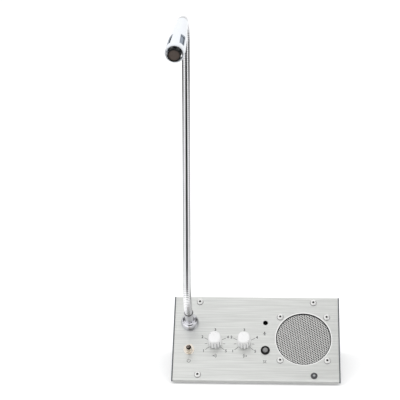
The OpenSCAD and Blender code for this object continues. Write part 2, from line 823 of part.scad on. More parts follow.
module lamp_lens() {
    dome = lens_d / 2 - 0.8;
    color([0.62, 0.62, 0.62]) on_panel(lamp_x, lamp_u) rotate_extrude() polygon(concat(
        [[0, -7], [lens_d / 2, -7]],
        [for (i = [0 : 8]) [lens_d / 2 * cos(90 * i / 8), 0.4 + dome * sin(90 * i / 8)]]));
}

// ---------- power switch ----------

module switch_body() {
    color([0.12, 0.16, 0.3]) on_panel(switch_x, switch_u) difference() {
        union() {
            translate([-4, -6.5, under_panel - switch_body_h]) cube([8, 13, switch_body_h]);
            translate([0, 0, under_panel - 1])
                cylinder(h = switch_bush_h - under_panel + 1, d = switch_bush_d, $fn = fn_small);
            for (v = [-4.7, 0, 4.7])
                translate([-1, v - 0.4, under_panel - switch_body_h - 4]) cube([2, 0.8, 4.1]);
        }
        translate([0, 0, lever_pivot - 4]) cylinder(h = 20, r = lever_ball_r + 0.05, $fn = fn_small);
        translate([0, 0, lever_pivot]) cylinder(h = switch_bush_h - lever_pivot + eps,
            r1 = lever_ball_r + 0.05, r2 = switch_bush_d / 2 - 0.35, $fn = fn_small);
    }
}

module switch_washer() {
    color([0.8, 0.74, 0.6]) on_panel(switch_x, switch_u) union() {
        tube(switch_washer_d / 2, switch_bush_d / 2 + screw_gap, washer_t);
        translate([1.2, switch_washer_d / 2 - 1.2, 0]) cube([2, 1.6, washer_t]);
    }
}

module switch_nut() {
    color([0.84, 0.8, 0.7]) on_panel(switch_x, switch_u) translate([0, 0, washer_t])
        hex_nut(switch_nut_af, switch_nut_t, switch_bush_d / 2 + thread_gap);
}

// a bat lever on a ball, tilted down at rest
module switch_lever() {
    color([0.45, 0.4, 0.36]) on_panel(switch_x, switch_u) translate([0, 0, lever_pivot])
        rotate([lever_tilt, 0, 0]) union() {
            sphere(lever_ball_r, $fn = fn_small);
            cylinder(h = lever_l - lever_tip_r, r1 = lever_root_r, r2 = lever_tip_r, $fn = fn_small);
            translate([0, 0, lever_l - lever_tip_r]) sphere(lever_tip_r, $fn = fn_small);
        }
}

// ---------- level controls ----------

module pot(x) {
    color([0.55, 0.56, 0.58]) on_panel(x, knob_u) difference() {
        union() {
            translate([0, 0, under_panel - pot_h]) cylinder(h = pot_h, d = pot_d);
            translate([0, 0, under_panel - 1]) cylinder(h = pot_top - under_panel + 1, d = bushing_d);
            for (v = [-5, 0, 5])
                translate([v - 0.6, -pot_d / 2 - 5, under_panel - 4]) cube([1.2, pot_d / 2, 0.8]);
        }
        translate([0, 0, under_panel - pot_h + pot_wall])
            cylinder(h = pot_h + 20, r = shaft_d / 2 + run_gap);
    }
}

module pot_nuts() {
    color([0.75, 0.75, 0.74]) for (x = [knob_left_x, knob_right_x]) on_panel(x, knob_u)
        hex_nut(pot_nut_af, pot_nut_t, bushing_d / 2 + thread_gap);
}

module pot_shaft(x) {
    foot_z = under_panel - pot_h + pot_wall + 0.1;
    color([0.72, 0.72, 0.7]) on_panel(x, knob_u) translate([0, 0, foot_z])
        cylinder(h = shaft_top - foot_z, d = shaft_d);
}

// a fluted knob with a domed top and a raised pointer
module knob(x) {
    r = knob_d / 2;
    flute_r = PI * knob_d / flutes / 3.4;
    color([0.93, 0.93, 0.94]) on_panel(x, knob_u) translate([0, 0, knob_z]) difference() {
        union() {
            intersection() {
                linear_extrude(knob_h) difference() {
                    circle(r);
                    for (i = [0 : flutes - 1]) rotate([0, 0, (i + 0.5) * 360 / flutes])
                        translate([r + flute_r * 0.45, 0]) circle(flute_r, $fn = 24);
                }
                rotate_extrude() polygon([[0, 0], [r, 0], [r, knob_h - 4.5], [r - 0.5, knob_h - 2.8],
                    [r - 1.6, knob_h - 1.4], [r - 3.2, knob_h - 0.6], [0, knob_h - 0.2]]);
            }
            translate([-0.6, 0.5, knob_h - 4]) cube([1.2, r - 1.6, 4]);
        }
        translate([0, 0, -1])
            cylinder(h = pot_nut_t - knob_z + 1.4, r = pot_nut_af / 2 / cos(30) + 0.25);
        translate([0, 0, -1]) cylinder(h = pot_top - knob_z + 1.5, r = bushing_d / 2 + 0.4);
        translate([0, 0, -1]) cylinder(h = shaft_top - knob_z + 1 + 0.02, r = shaft_d / 2 + 0.02);
    }
}

// ---------- circuit board ----------

module on_board() {
    in_frame() translate([board_x, board_y, board_z]) children();
}

module circuit_board() {
    color([0.05, 0.3, 0.14]) on_board() translate([-board_w / 2, -board_d / 2, 0])
        cube([board_w, board_d, board_t]);
}

module board_spacers() {
    color([0.8, 0.8, 0.78]) on_board() translate([0, 0, -spacer_h]) at_corners(spacer_x, spacer_y)
        cylinder(h = spacer_h, r = 2.5, $fn = fn_small);
}

module board_capacitors() {
    color([0.1, 0.12, 0.25]) on_board() translate([0, 0, board_t]) {
        for (i = [0 : 2])
            translate([-30 + 14 * i, 0, 0]) cylinder(h = 10, r = 4, $fn = fn_small);
        translate([16, 0, 0]) cylinder(h = 8, r = 3, $fn = fn_small);
    }
}

// ---------- rear sockets ----------

// +Z out of the rear wall
module at_socket(i) {
    in_frame() translate([socket_x[i], back_y, socket_height]) rotate([-90, 0, 0]) children();
}

module socket_holes() {
    for (i = [0 : 2]) translate([socket_x[i], back_y, socket_height]) rotate([-90, 0, 0])
        translate([0, 0, -case_t - 1])
            cylinder(h = case_t + 2, r = (i == 0 ? power_d : jack_d) / 2 + screw_gap, $fn = fn_small);
}

module socket_shell(d, body) {
    translate([-body / 2, -body / 2, -case_t - socket_depth]) cube([body, body, socket_depth]);
    translate([0, 0, -case_t - 0.5]) cylinder(h = case_t + 0.5 + socket_out, d = d, $fn = fn_small);
}

module socket_power() {
    color([0.07, 0.07, 0.07]) at_socket(0) {
        difference() {
            socket_shell(power_d, socket_body + 2);
            translate([0, 0, -8]) cylinder(h = 20, r = 2.9, $fn = fn_small);
        }
        translate([0, 0, -8.5]) cylinder(h = 9, r = 1, $fn = fn_small);
    }
}

module sound_socket(i) {
    color([0.09, 0.09, 0.09]) at_socket(i) difference() {
        socket_shell(jack_d, socket_body);
        translate([0, 0, socket_out - jack_depth])
            cylinder(h = jack_depth + 1, d = jack_bore_d, $fn = fn_small);
    }
}

module socket_nuts() {
    color([0.75, 0.75, 0.74]) for (i = [0 : 2]) let (d = i == 0 ? power_d : jack_d)
        at_socket(i) tube(d / 2 + 2, d / 2 + thread_gap, 2, fn_small);
}

front_panel();
base_case();
rail(-cover_u);  // rail_front
rail(cover_u);  // rail_rear
cover_screws();
foot(0);  // foot_1
foot(1);  // foot_2
foot(2);  // foot_3
foot(3);  // foot_4
foot_screws();
speaker_mesh();
speaker_screws();
speaker_nuts();
speaker_basket();
speaker_surround();
speaker_spider();
speaker_cone();
speaker_coil();
speaker_magnet();
speaker_yoke();
neck_flange();
neck_nut();
neck_root();
neck_flex_root();
neck_lower();
neck_flex_side();
neck_stem();
neck_flex_top();
neck_crook();
mic_end_ring();
mic_rear_cone();
mic_housing();
mic_liner();
mic_boot();
mic_capsule();
panel_mic_boot();
panel_mic_capsule();
lamp_bezel();
lamp_lens();
switch_body();
switch_washer();
switch_nut();
switch_lever();
pot(knob_left_x);  // pot_talk
pot(knob_right_x);  // pot_listen
pot_nuts();
pot_shaft(knob_left_x);  // shaft_talk
pot_shaft(knob_right_x);  // shaft_listen
knob(knob_left_x);  // knob_talk
knob(knob_right_x);  // knob_listen
circuit_board();
board_spacers();
board_capacitors();
socket_power();
sound_socket(1);  // socket_window_unit
sound_socket(2);  // socket_record
socket_nuts();
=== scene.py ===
# %% [markdown]
# # A teller window intercom in Blender
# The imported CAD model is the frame: every size and place here is in metres, in that frame. The
# script first loads it, then sets the camera, and then makes one piece or finish at a time. A
# piece that the CAD model already shapes well is only refined, so that the two always agree.

# %% Load the frame
import json
import math
import random

import bmesh
import bpy
from mathutils import Matrix, Vector


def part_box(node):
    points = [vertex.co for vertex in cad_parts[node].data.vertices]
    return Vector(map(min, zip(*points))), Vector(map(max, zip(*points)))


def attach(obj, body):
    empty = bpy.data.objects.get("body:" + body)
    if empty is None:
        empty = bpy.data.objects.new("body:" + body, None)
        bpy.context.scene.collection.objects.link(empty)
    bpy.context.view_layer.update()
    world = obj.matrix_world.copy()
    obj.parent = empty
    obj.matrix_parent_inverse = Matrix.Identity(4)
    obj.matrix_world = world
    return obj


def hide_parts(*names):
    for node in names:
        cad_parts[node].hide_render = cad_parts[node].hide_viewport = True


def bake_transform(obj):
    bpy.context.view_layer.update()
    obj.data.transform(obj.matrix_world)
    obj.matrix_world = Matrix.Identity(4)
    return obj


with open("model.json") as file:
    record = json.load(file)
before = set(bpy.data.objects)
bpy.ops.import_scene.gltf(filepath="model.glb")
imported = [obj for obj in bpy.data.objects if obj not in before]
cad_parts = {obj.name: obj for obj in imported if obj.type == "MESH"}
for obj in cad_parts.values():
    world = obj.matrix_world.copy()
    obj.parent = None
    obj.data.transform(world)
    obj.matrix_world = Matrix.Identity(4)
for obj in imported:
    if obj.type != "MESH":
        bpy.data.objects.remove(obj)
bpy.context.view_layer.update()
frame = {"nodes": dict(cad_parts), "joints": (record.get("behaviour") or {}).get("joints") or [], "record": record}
MM = 0.001
joints = {joint["name"]: joint for joint in frame["joints"]}

# %% [markdown]
# ## Places on the panel
# Nearly all that a hand touches stands square on the sloped panel. The slope could be typed in
# again, but then two files would hold one number. The knobs turn about the panel's normal, so
# their joint gives the slope. One matrix then carries every piece that is drawn flat, with x
# across, y up the slope and z out of the panel.

# %% Find the panel's plane
normal = Vector(joints["talk_level"]["axis"]).normalized()
slope = math.asin(-normal.y)
knob_at = Vector(joints["talk_level"]["pos_m"])
up_slope = Vector((0, math.cos(slope), math.sin(slope)))
KNOB_UP = -5.6 * MM
panel_centre = Vector((0, knob_at.y, knob_at.z)) - KNOB_UP * up_slope


def on_panel(x, up, out=0.0):
    """The matrix of a place on the panel's face, in metres from its centre."""
    return (Matrix.Translation(panel_centre) @ Matrix.Rotation(slope, 4, "X")
            @ Matrix.Translation((x, up, out)))


print("slope", round(math.degrees(slope), 2), "panel centre", tuple(panel_centre))

# %% [markdown]
# ## Camera
# The photograph was taken from a little above, from straight in front, with a long lens: the panel
# narrows by only four parts in a hundred from its front edge to its rear edge. A camera set by eye
# never quite meets every outline. These numbers were fitted instead, to the panel's corners, its
# screws and the round opening, and the lens follows from the picture's width in pixels.

# %% Set the camera
CAMERA_FROM_PANEL = Vector((0.0245, -1.192787, 0.609089))
CAMERA_DOWN = 20.80
CAMERA_TURN = 3.86
CAMERA_ROLL = -1.17
FRAME_PIXELS = 400
FOCAL_PIXELS = 1268.6
SENSOR_MM = 36.0
NEAREST_SEEN = 0.05

camera_data = bpy.data.cameras.new("camera")
camera_data.sensor_width = SENSOR_MM
camera_data.lens = FOCAL_PIXELS / FRAME_PIXELS * SENSOR_MM
camera_data.clip_start = NEAREST_SEEN
camera = bpy.data.objects.new("camera", camera_data)
bpy.context.scene.collection.objects.link(camera)
camera.matrix_world = (Matrix.Translation(panel_centre + CAMERA_FROM_PANEL)
                       @ Matrix.Rotation(math.radians(CAMERA_TURN), 4, "Z")
                       @ Matrix.Rotation(math.radians(90 - CAMERA_DOWN), 4, "X")
                       @ Matrix.Rotation(math.radians(CAMERA_ROLL), 4, "Z"))
bpy.context.scene.camera = camera
print("lens", round(camera_data.lens, 1))

# %% [markdown]
# ## Materials
# The real device is brushed steel, chrome, paint and moulded plastic. Pictures of such surfaces
# would need unwrapped pieces and would show their edges. So each finish is one short function of a
# Principled shader, and its pattern is worked out on the object's own coordinates, which keeps it
# on the piece from every side.

# %% Start a material
def start_material(name, colour, metallic=0.0, roughness=0.5):
    """A named material, its node tree and its Principled shader."""
    material = bpy.data.materials.new(name)
    material.use_nodes = True
    tree = material.node_tree
    shader = tree.nodes["Principled BSDF"]
    shader.inputs["Base Color"].default_value = (*colour, 1.0)
    shader.inputs["Metallic"].default_value = metallic
    shader.inputs["Roughness"].default_value = roughness
    return material, tree, shader


def object_noise(tree, scale, stretch=(1, 1, 1), detail=4.0):
    """A noise on Object coordinates, its grain stretched by a Mapping node."""
    place = tree.nodes.new("ShaderNodeTexCoord")
    mapping = tree.nodes.new("ShaderNodeMapping")
    mapping.inputs["Scale"].default_value = stretch
    noise = tree.nodes.new("ShaderNodeTexNoise")
    noise.inputs["Scale"].default_value = scale
    noise.inputs["Detail"].default_value = detail
    tree.links.new(place.outputs["Object"], mapping.inputs["Vector"])
    tree.links.new(mapping.outputs["Vector"], noise.inputs["Vector"])
    return noise.outputs["Fac"]


print("materials that came with the frame", len(bpy.data.materials))

# %% Turn a pattern into colour, gloss and relief
NOISE_LOW, NOISE_HIGH = 0.3, 0.7
RELIEF_DEEP = 0.1 * MM


def spread(tree, pattern, low, high):
    """Map the middle of a noise's range to the range low to high."""
    scale = tree.nodes.new("ShaderNodeMapRange")
    scale.inputs["From Min"].default_value = NOISE_LOW
    scale.inputs["From Max"].default_value = NOISE_HIGH
    scale.inputs["To Min"].default_value = low
    scale.inputs["To Max"].default_value = high
    tree.links.new(pattern, scale.inputs["Value"])
    return scale.outputs["Result"]


def tint(tree, shader, pattern, dark, light):
    """Mix two close colours by a pattern, into the base colour."""
    mix = tree.nodes.new("ShaderNodeMix")
    mix.data_type = "RGBA"
    mix.inputs["A"].default_value = (*dark, 1.0)
    mix.inputs["B"].default_value = (*light, 1.0)
    tree.links.new(spread(tree, pattern, 0, 1), mix.inputs["Factor"])
    tree.links.new(mix.outputs["Result"], shader.inputs["Base Color"])


def vary_gloss(tree, shader, pattern, low, high):
    """Let a pattern vary the roughness between two values."""
    tree.links.new(spread(tree, pattern, low, high), shader.inputs["Roughness"])


def bump(tree, shader, pattern, strength):
    """Feed a pattern to the shader's normal as a fine relief."""
    relief = tree.nodes.new("ShaderNodeBump")
    relief.inputs["Strength"].default_value = strength
    relief.inputs["Distance"].default_value = RELIEF_DEEP
    tree.links.new(pattern, relief.inputs["Height"])
    tree.links.new(relief.outputs["Normal"], shader.inputs["Normal"])


print("relief", round(RELIEF_DEEP / MM, 2), "mm deep")

# %% [markdown]
# The panel was brushed along its width, which leaves long thin streaks. A noise that is drawn out
# far along x gives them, once coarse for the colour and once fine for the gloss. Plating only
# varies a little in its gloss, and powder coat has a fine orange peel.

# %% Make the metals
STREAKS, STREAK_SCALE = (4, 150, 150), 6.0
FINE_STREAKS, FINE_SCALE = (2.5, 600, 600), 14.0
BRUSH_DETAIL, BRUSH_RELIEF = 3.0, 0.06
BRUSH_SMOOTHER, BRUSH_ROUGHER = 0.05, 0.06
CLOUD_SCALE, CLOUD_GLOSS = 220.0, 0.03
SMOOTHEST = 0.01
PEEL_SCALE, PEEL_DETAIL, PEEL_SHADE, PEEL_RELIEF = 2600.0, 2.0, 0.82, 0.25


def brushed_metal(name, dark, light, roughness, metallic=1.0):
    """Metal brushed along X: long thin streaks in colour, gloss and relief."""
    material, tree, shader = start_material(name, light, metallic, roughness)
    coarse = object_noise(tree, STREAK_SCALE, STREAKS, BRUSH_DETAIL)
    tint(tree, shader, coarse, dark, light)
    fine = object_noise(tree, FINE_SCALE, FINE_STREAKS, BRUSH_DETAIL)
    vary_gloss(tree, shader, fine, roughness - BRUSH_SMOOTHER, roughness + BRUSH_ROUGHER)
    bump(tree, shader, fine, BRUSH_RELIEF)
    return material


def plated_metal(name, colour, roughness, metallic=1.0):
    """Bright plating with faint cloudy variation in its gloss."""
    material, tree, shader = start_material(name, colour, metallic, roughness)
    vary_gloss(tree, shader, object_noise(tree, CLOUD_SCALE),
               max(roughness - CLOUD_GLOSS, SMOOTHEST), roughness + CLOUD_GLOSS)
    return material


def painted_metal(name, colour, roughness):
    """Fine textured powder coat."""
    material, tree, shader = start_material(name, colour, 0.0, roughness)
    orange_peel = object_noise(tree, PEEL_SCALE, detail=PEEL_DETAIL)
    tint(tree, shader, orange_peel, tuple(c * PEEL_SHADE for c in colour), colour)
    bump(tree, shader, orange_peel, PEEL_RELIEF)
    return material


print("streaks", round(FINE_STREAKS[1] / FINE_STREAKS[0]), "times longer than wide")

# %% [markdown]
# Moulded plastic and rubber have a slight mottle and a fine grain. One table then mixes every
# finish: the maker's name, and after it the colour, the roughness and what else that maker takes.

# %% Mix the finishes
MOTTLE_SHADE = 0.9
MOTTLE_GLOSS = 0.04


def moulded(name, colour, roughness, gloss=0.5, grain=900.0, relief=0.08):
    """Moulded plastic or rubber with a slight mottle and surface grain."""
    material, tree, shader = start_material(name, colour, 0.0, roughness)
    shader.inputs["Specular IOR Level"].default_value = gloss
    mottle = object_noise(tree, grain)
    tint(tree, shader, mottle, tuple(c * MOTTLE_SHADE for c in colour), colour)
    vary_gloss(tree, shader, mottle, roughness - MOTTLE_GLOSS, roughness + MOTTLE_GLOSS)
    bump(tree, shader, mottle, relief)
    return material


RECIPES = {
    "brushed_panel": (brushed_metal, (0.70, 0.71, 0.69), (0.845, 0.855, 0.835), 0.36),
    "panel_fold": (brushed_metal, (0.72, 0.73, 0.71), (0.84, 0.85, 0.83), 0.45, 0.3),
    "cut_edge": (plated_metal, (0.97, 0.97, 0.96), 0.4, 0.0),
    "case_paint": (painted_metal, (0.13, 0.14, 0.155), 0.5),
    "zinc_steel": (plated_metal, (0.62, 0.63, 0.64), 0.32),
    "screw_steel": (plated_metal, (0.80, 0.80, 0.79), 0.22, 0.5),
    "screw_dark": (plated_metal, (0.13, 0.13, 0.135), 0.35),
    "washer_grey": (moulded, (0.24, 0.24, 0.24), 0.6),
    "recess_dark": (plated_metal, (0.06, 0.055, 0.05), 0.45),
    "foot_rubber": (moulded, (0.02, 0.02, 0.02), 0.75),
    "mesh_metal": (plated_metal, (0.98, 0.98, 0.96), 0.34),
    "basket_steel": (painted_metal, (0.06, 0.065, 0.07), 0.5),
    "cone_paper": (moulded, (0.02, 0.02, 0.02), 0.9, 0.5, 1500.0, 0.3),
    "coil_copper": (plated_metal, (0.72, 0.36, 0.16), 0.3),
    "ferrite": (moulded, (0.03, 0.03, 0.035), 0.6),
    "neck_chrome": (plated_metal, (0.90, 0.90, 0.92), 0.09),
    "neck_groove": (plated_metal, (0.2, 0.2, 0.21), 0.4),
    "flange_chrome": (plated_metal, (0.74, 0.74, 0.78), 0.2),
    "mic_white": (plated_metal, (0.80, 0.83, 0.87), 0.2, 0.35),
    "mic_grey": (moulded, (0.29, 0.33, 0.39), 0.6),
    "boot_black": (moulded, (0.008, 0.008, 0.008), 0.38),
    "capsule_felt": (moulded, (0.085, 0.065, 0.055), 0.85, 0.5, 1800.0, 0.5),
    "black_plastic": (moulded, (0.006, 0.006, 0.006), 0.4, 0.25),
    "deep_black": (moulded, (0.002, 0.002, 0.002), 0.95, 0.05),
    "lamp_grey": (moulded, (0.25, 0.25, 0.25), 0.28),
    "switch_blue": (moulded, (0.02, 0.05, 0.16), 0.35),
    "switch_nickel": (plated_metal, (0.86, 0.80, 0.72), 0.16),
    "lever_chrome": (plated_metal, (0.24, 0.20, 0.18), 0.12),
    "control_metal": (plated_metal, (0.55, 0.56, 0.57), 0.3),
    "knob_silver": (plated_metal, (0.89, 0.89, 0.89), 0.3, 0.4),
    "knob_flute": (plated_metal, (0.55, 0.56, 0.57), 0.3, 0.2),
    "knob_land": (plated_metal, (0.95, 0.95, 0.95), 0.35, 0.0),
    "board_green": (moulded, (0.01, 0.10, 0.04), 0.4),
    "capacitor_sleeve": (moulded, (0.012, 0.02, 0.07), 0.3),
    "dial_ink": (moulded, (0.06, 0.06, 0.065), 0.6),
}
finishes = {name: maker(name, *recipe) for name, (maker, *recipe) in RECIPES.items()}
print(len(finishes), "finishes")

# %% [markdown]
# Every CAD node first takes the finish of its slot in the record. The pieces made below then
# replace the nodes that want finer edges, and the rest keep this finish. What sits behind the
# small hole of the panel is painted deep black, as the shade inside the hole.

# %% Give the CAD nodes their finishes
slot_of = {part["node"]: part["material_slot"] for part in frame["record"]["subparts"]}
for name, node in frame["nodes"].items():
    node.data.materials.clear()
    node.data.materials.append(finishes[slot_of[name]])
# Painted shade: the parts behind the panel's mic hole turn deep black.
for name in ("panel_mic_capsule", "panel_mic_boot"):
    frame["nodes"][name].data.materials[0] = finishes["deep_black"]
print("finished", len(slot_of), "nodes")

# %% [markdown]
# ## Shared ways of making a piece
# A piece is built as a bmesh at the origin, moved to its place in its own vertices, and then rides
# on the CAD body that carries it. Moving the object instead would be shorter, but a pattern on
# Object coordinates would then slide. Sharp folds are marked before the normals are weighted, so
# that flat faces look flat beside round ones.

# %% Put a finished mesh on its body
SMOOTH_LIMIT = math.radians(35)


def place_piece(name, bm, place, slot, body, nodes=(), smooth=True, others=()):
    """Turn a bmesh into an object in the frame, with its finishes, on its body."""
    bm.transform(place)
    bmesh.ops.recalc_face_normals(bm, faces=bm.faces[:])
    for face in bm.faces:
        face.smooth = smooth
    for edge in bm.edges:
        if len(edge.link_faces) == 2 and edge.calc_face_angle(0) > SMOOTH_LIMIT:
            edge.smooth = False
    mesh = bpy.data.meshes.new(name)
    bm.to_mesh(mesh)
    bm.free()
    piece = bpy.data.objects.new(name, mesh)
    bpy.context.scene.collection.objects.link(piece)
    for finish in (slot, *others):
        mesh.materials.append(finishes[finish])
    if smooth:
        keep_flat = piece.modifiers.new("flat faces stay flat", "WEIGHTED_NORMAL")
        keep_flat.keep_sharp = True
    if body:
        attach(piece, body)
    if nodes:
        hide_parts(*nodes)
    return piece


# %% [markdown]
# Three operators make most shapes here. A bevel rounds the edges, because no real edge is quite
# sharp and a rounded one catches the light. A spin turns an outline, as a lathe does. A copy of a
# CAD node is loose triangles, so it is merged first and only then rounded.

# %% Round, turn and refine
MERGE_DIST = 1e-6
SPIN_MERGE_DIST = 1e-7
FINE_STEPS = 96
FLAT_LIMIT = math.radians(1.0)


def bevel_edges(bm, width, segments=2, above=30.0):
    """Round the edges that turn by more than an angle in degrees."""
    edges = [e for e in bm.edges if len(e.link_faces) == 2
             and e.calc_face_angle(0) > math.radians(above)]
    bmesh.ops.bevel(bm, geom=edges, offset=width, offset_type="OFFSET", segments=segments,
                    affect="EDGES", profile=0.5, material=-1, clamp_overlap=True)


def turned(outline, steps):
    """A solid of revolution about Z from (radius, height) points in metres."""
    bm = bmesh.new()
    points = [bm.verts.new((r, 0, z)) for r, z in outline]
    edges = [bm.edges.new(pair) for pair in zip(points, points[1:])]
    bmesh.ops.spin(bm, geom=points + edges, cent=(0, 0, 0), axis=(0, 0, 1), dvec=(0, 0, 0),
                   angle=math.tau, steps=steps, use_merge=True, use_duplicate=False)
    bmesh.ops.remove_doubles(bm, verts=bm.verts[:], dist=SPIN_MERGE_DIST)
    return bm


def merged_copy(node):
    """A copy of a CAD node as a bmesh, its triangles merged into faces."""
    bm = bmesh.new()
    bm.from_mesh(frame["nodes"][node].data)
    bmesh.ops.remove_doubles(bm, verts=bm.verts[:], dist=MERGE_DIST)
    bmesh.ops.dissolve_limit(bm, angle_limit=FLAT_LIMIT, verts=bm.verts[:],
                             edges=bm.edges[:], delimit=set())
    return bm


def refined(name, node, width, body, above=30.0, segments=2):
    """A copy of a CAD node with its edges rounded."""
    bm = merged_copy(node)
    bevel_edges(bm, width, segments, above)
    piece = place_piece(name, bm, Matrix.Identity(4), slot_of[node], body, (node,))
    print(name, len(piece.data.polygons), "faces")
    return piece


def with_pieces(bm, other):
    """Add another bmesh to this one."""
    mesh = bpy.data.meshes.new("joined")
    other.to_mesh(mesh)
    other.free()
    bm.from_mesh(mesh)
    bpy.data.meshes.remove(mesh)


print("faces within", round(math.degrees(FLAT_LIMIT), 1), "degree are merged")

# %% [markdown]
# ## Folded panel and painted case
# The panel is one folded and punched sheet. It could be modelled again from a plane, but the copy
# of its CAD node keeps every hole true. Its cut edges are rounded, most of all round the
# loudspeaker's opening, where the rounded rim takes a white, non-metallic finish as a painted
# highlight of the bare rim's shine. The faces of the front bend take a paler, duller and less
# metallic copy of the brushed finish, a painted highlight where the bend would mirror the dark.

# %% Round the panel's and the case's edges
SPEAKER_X = sum(corner.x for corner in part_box("speaker_mesh")) / 2
OPENING_R = 28.7 * MM
RIM_REACH = 0.1 * MM
RIM_ROUND = 1.1 * MM
SHEET_ROUND = 0.25 * MM
FRONT_OF = -3 * MM
BEND_RISE = (0.08, 0.74)
RIM_HIGHLIGHT, FOLD_HIGHLIGHT = 1, 2


def opening_rim(bm):
    """The edges on the panel's face round the loudspeaker's opening."""
    to_disc = on_panel(SPEAKER_X, 0).inverted()
    rim = []
    for edge in bm.edges:
        ends = [to_disc @ v.co for v in edge.verts]
        if all(abs(e.xy.length - OPENING_R) < RIM_REACH and abs(e.z) < RIM_REACH / 2
               for e in ends):
            rim.append(edge)
    return rim


panel_skin = merged_copy("front_panel")
rim = opening_rim(panel_skin)
# The rim's rounding takes a white, non-metallic finish: a painted highlight.
bmesh.ops.bevel(panel_skin, geom=rim, offset=RIM_ROUND, offset_type="OFFSET", segments=4,
                affect="EDGES", profile=0.5, material=RIM_HIGHLIGHT, clamp_overlap=True)
bevel_edges(panel_skin, SHEET_ROUND)
# The front bend's faces take a duller, less metallic copy of the brushed finish: a painted highlight.
for face in panel_skin.faces:
    in_front = face.calc_center_median().y < FRONT_OF and face.normal.y < 0
    if in_front and BEND_RISE[0] < face.normal.z < BEND_RISE[1]:
        face.material_index = FOLD_HIGHLIGHT
place_piece("panel_sheet", panel_skin, Matrix.Identity(4), "brushed_panel", "housing",
            ("front_panel",), others=("cut_edge", "panel_fold"))
print("rim edges", len(rim))
refined("case_tray", "base_case", 0.3 * MM, "housing")

# %% [markdown]
# ## Perforated grille
# The sheet behind the round opening has small round holes in a triangular pattern, a little turned
# against the panel. A picture of holes would not show their depth, and a boolean of hundreds of
# holes is slow. So one cell, a hexagon with a round hole, is repeated over the circle. Shade is
# painted black in three places: on the walls of the holes, on a thin black ring that lines the
# edge of the opening, and on the sheet beyond that edge.

# %% Shape one cell of the grille
SHEET_BACK = -2.1 * MM
SHEET_T = 0.6 * MM
HOLE_PITCH = 2.04 * MM
HOLE_R = 0.81 * MM
HOLE_SIDES = 12


def hexagon_reach(corner_r, angle):
    """How far a hexagon's edge lies from its centre, in one direction."""
    apex = math.tau / 6
    return corner_r * math.cos(apex / 2) / math.cos((angle % apex) - apex / 2)


def grille_cell(bm, x, y):
    """One hexagonal cell with a round hole, front and back and wall."""
    rings = []
    for z in (0.0, SHEET_T):
        outer, inner = [], []
        for k in range(HOLE_SIDES):
            angle = math.tau * k / HOLE_SIDES
            r = hexagon_reach(HOLE_PITCH / math.sqrt(3), angle)
            outer.append(bm.verts.new((x + r * math.cos(angle), y + r * math.sin(angle), z)))
            inner.append(bm.verts.new((x + HOLE_R * math.cos(angle),
                                       y + HOLE_R * math.sin(angle), z)))
        rings.append((outer, inner))
    (low_out, low_in), (top_out, top_in) = rings
    for k in range(HOLE_SIDES):
        n = (k + 1) % HOLE_SIDES
        bm.faces.new((top_out[k], top_out[n], top_in[n], top_in[k]))
        bm.faces.new((low_out[n], low_out[k], low_in[k], low_in[n]))
        bm.faces.new((top_in[k], top_in[n], low_in[n], low_in[k]))


print("land between two holes", round((HOLE_PITCH - 2 * HOLE_R) / MM, 2), "mm")

# %% Punch the grille and line its edge
GRILLE_R = 30.2 * MM
BORDER_R = 28.0 * MM
COLUMN_STEP = HOLE_PITCH * math.sqrt(3) / 2
GRILLE_TURN = math.radians(-6.6)
STRIP_OUT_R, STRIP_TOP_R, STRIP_LOW_R = 28.68 * MM, 28.45 * MM, 28.4 * MM
STRIP_LOW, STRIP_TOP = 0.35 * MM, 1.9 * MM
WALL_TILT = 0.5
GRILLE_SHADE = 1

grille = bmesh.new()
rows = int(GRILLE_R / HOLE_PITCH) + 2
columns = int(GRILLE_R / COLUMN_STEP) + 2
holes = 0
for i in range(-columns, columns + 1):
    for j in range(-rows, rows + 1):
        x = i * COLUMN_STEP
        y = (j + (i % 2) / 2) * HOLE_PITCH
        if math.hypot(x, y) < GRILLE_R:
            grille_cell(grille, x, y)
            holes += 1
bmesh.ops.remove_doubles(grille, verts=grille.verts[:], dist=MERGE_DIST)
grille.normal_update()
# Painted shade: the hole walls and the sheet beyond BORDER_R take black.
for face in grille.faces:
    is_wall = abs(face.normal.z) < WALL_TILT
    if is_wall or face.calc_center_median().xy.length > BORDER_R:
        face.material_index = GRILLE_SHADE
# A thin black ring inside the opening's edge: painted shade.
rim_shade_strip = turned([(STRIP_OUT_R, STRIP_LOW), (STRIP_OUT_R, STRIP_TOP),
                     (STRIP_TOP_R, STRIP_TOP), (STRIP_LOW_R, STRIP_LOW)], FINE_STEPS)
for face in rim_shade_strip.faces:
    face.material_index = GRILLE_SHADE
with_pieces(grille, rim_shade_strip)
place_piece("grille_sheet", grille,
            on_panel(SPEAKER_X, 0, SHEET_BACK) @ Matrix.Rotation(GRILLE_TURN, 4, "Z"),
            "mesh_metal", "housing", ("speaker_mesh",), smooth=False, others=("black_plastic",))
print("grille holes", holes)

# %% [markdown]
# ## Button-head screws
# Four screws hold the panel and four the loudspeaker, each with a round button head. A thin grey
# ring under each head is a painted shadow round its foot. A head could be a squashed sphere, but
# a turned outline also gives that ring and the shank. The open crown is then extruded inward and
# down into a hexagon socket, painted dark as shade on the bright screws. The panel's lower right
# screw is painted dark as a duller reflection, and every screw stops at an angle of its own.

# %% Turn a screw and sink its socket
SHANK_R = 2.0 * MM
SHADOW_RING_R = 3.6 * MM
SHADOW_RING_LOW, SHADOW_RING_TOP = 0.02 * MM, 0.2 * MM
HEAD_R, HEAD_H = 3.25 * MM, 1.9 * MM
SIDE_H = HEAD_H * 0.45
SHOULDER_IN, SHOULDER_UP = 0.55 * MM, 0.6 * MM
CROWN_R = 2.4 * MM
CROWN_Z = HEAD_H - 0.15 * MM
LIP_Z = CROWN_Z - 0.1 * MM
SOCKET_R, SOCKET_DEEP = 1.3 * MM, 1.3 * MM
SOCKET_LIP = 0.12 * MM
SCREW_STEPS = 48
RECESS, DARK_HEAD, DARK_RECESS, SHADOW_RING = 1, 2, 3, 4


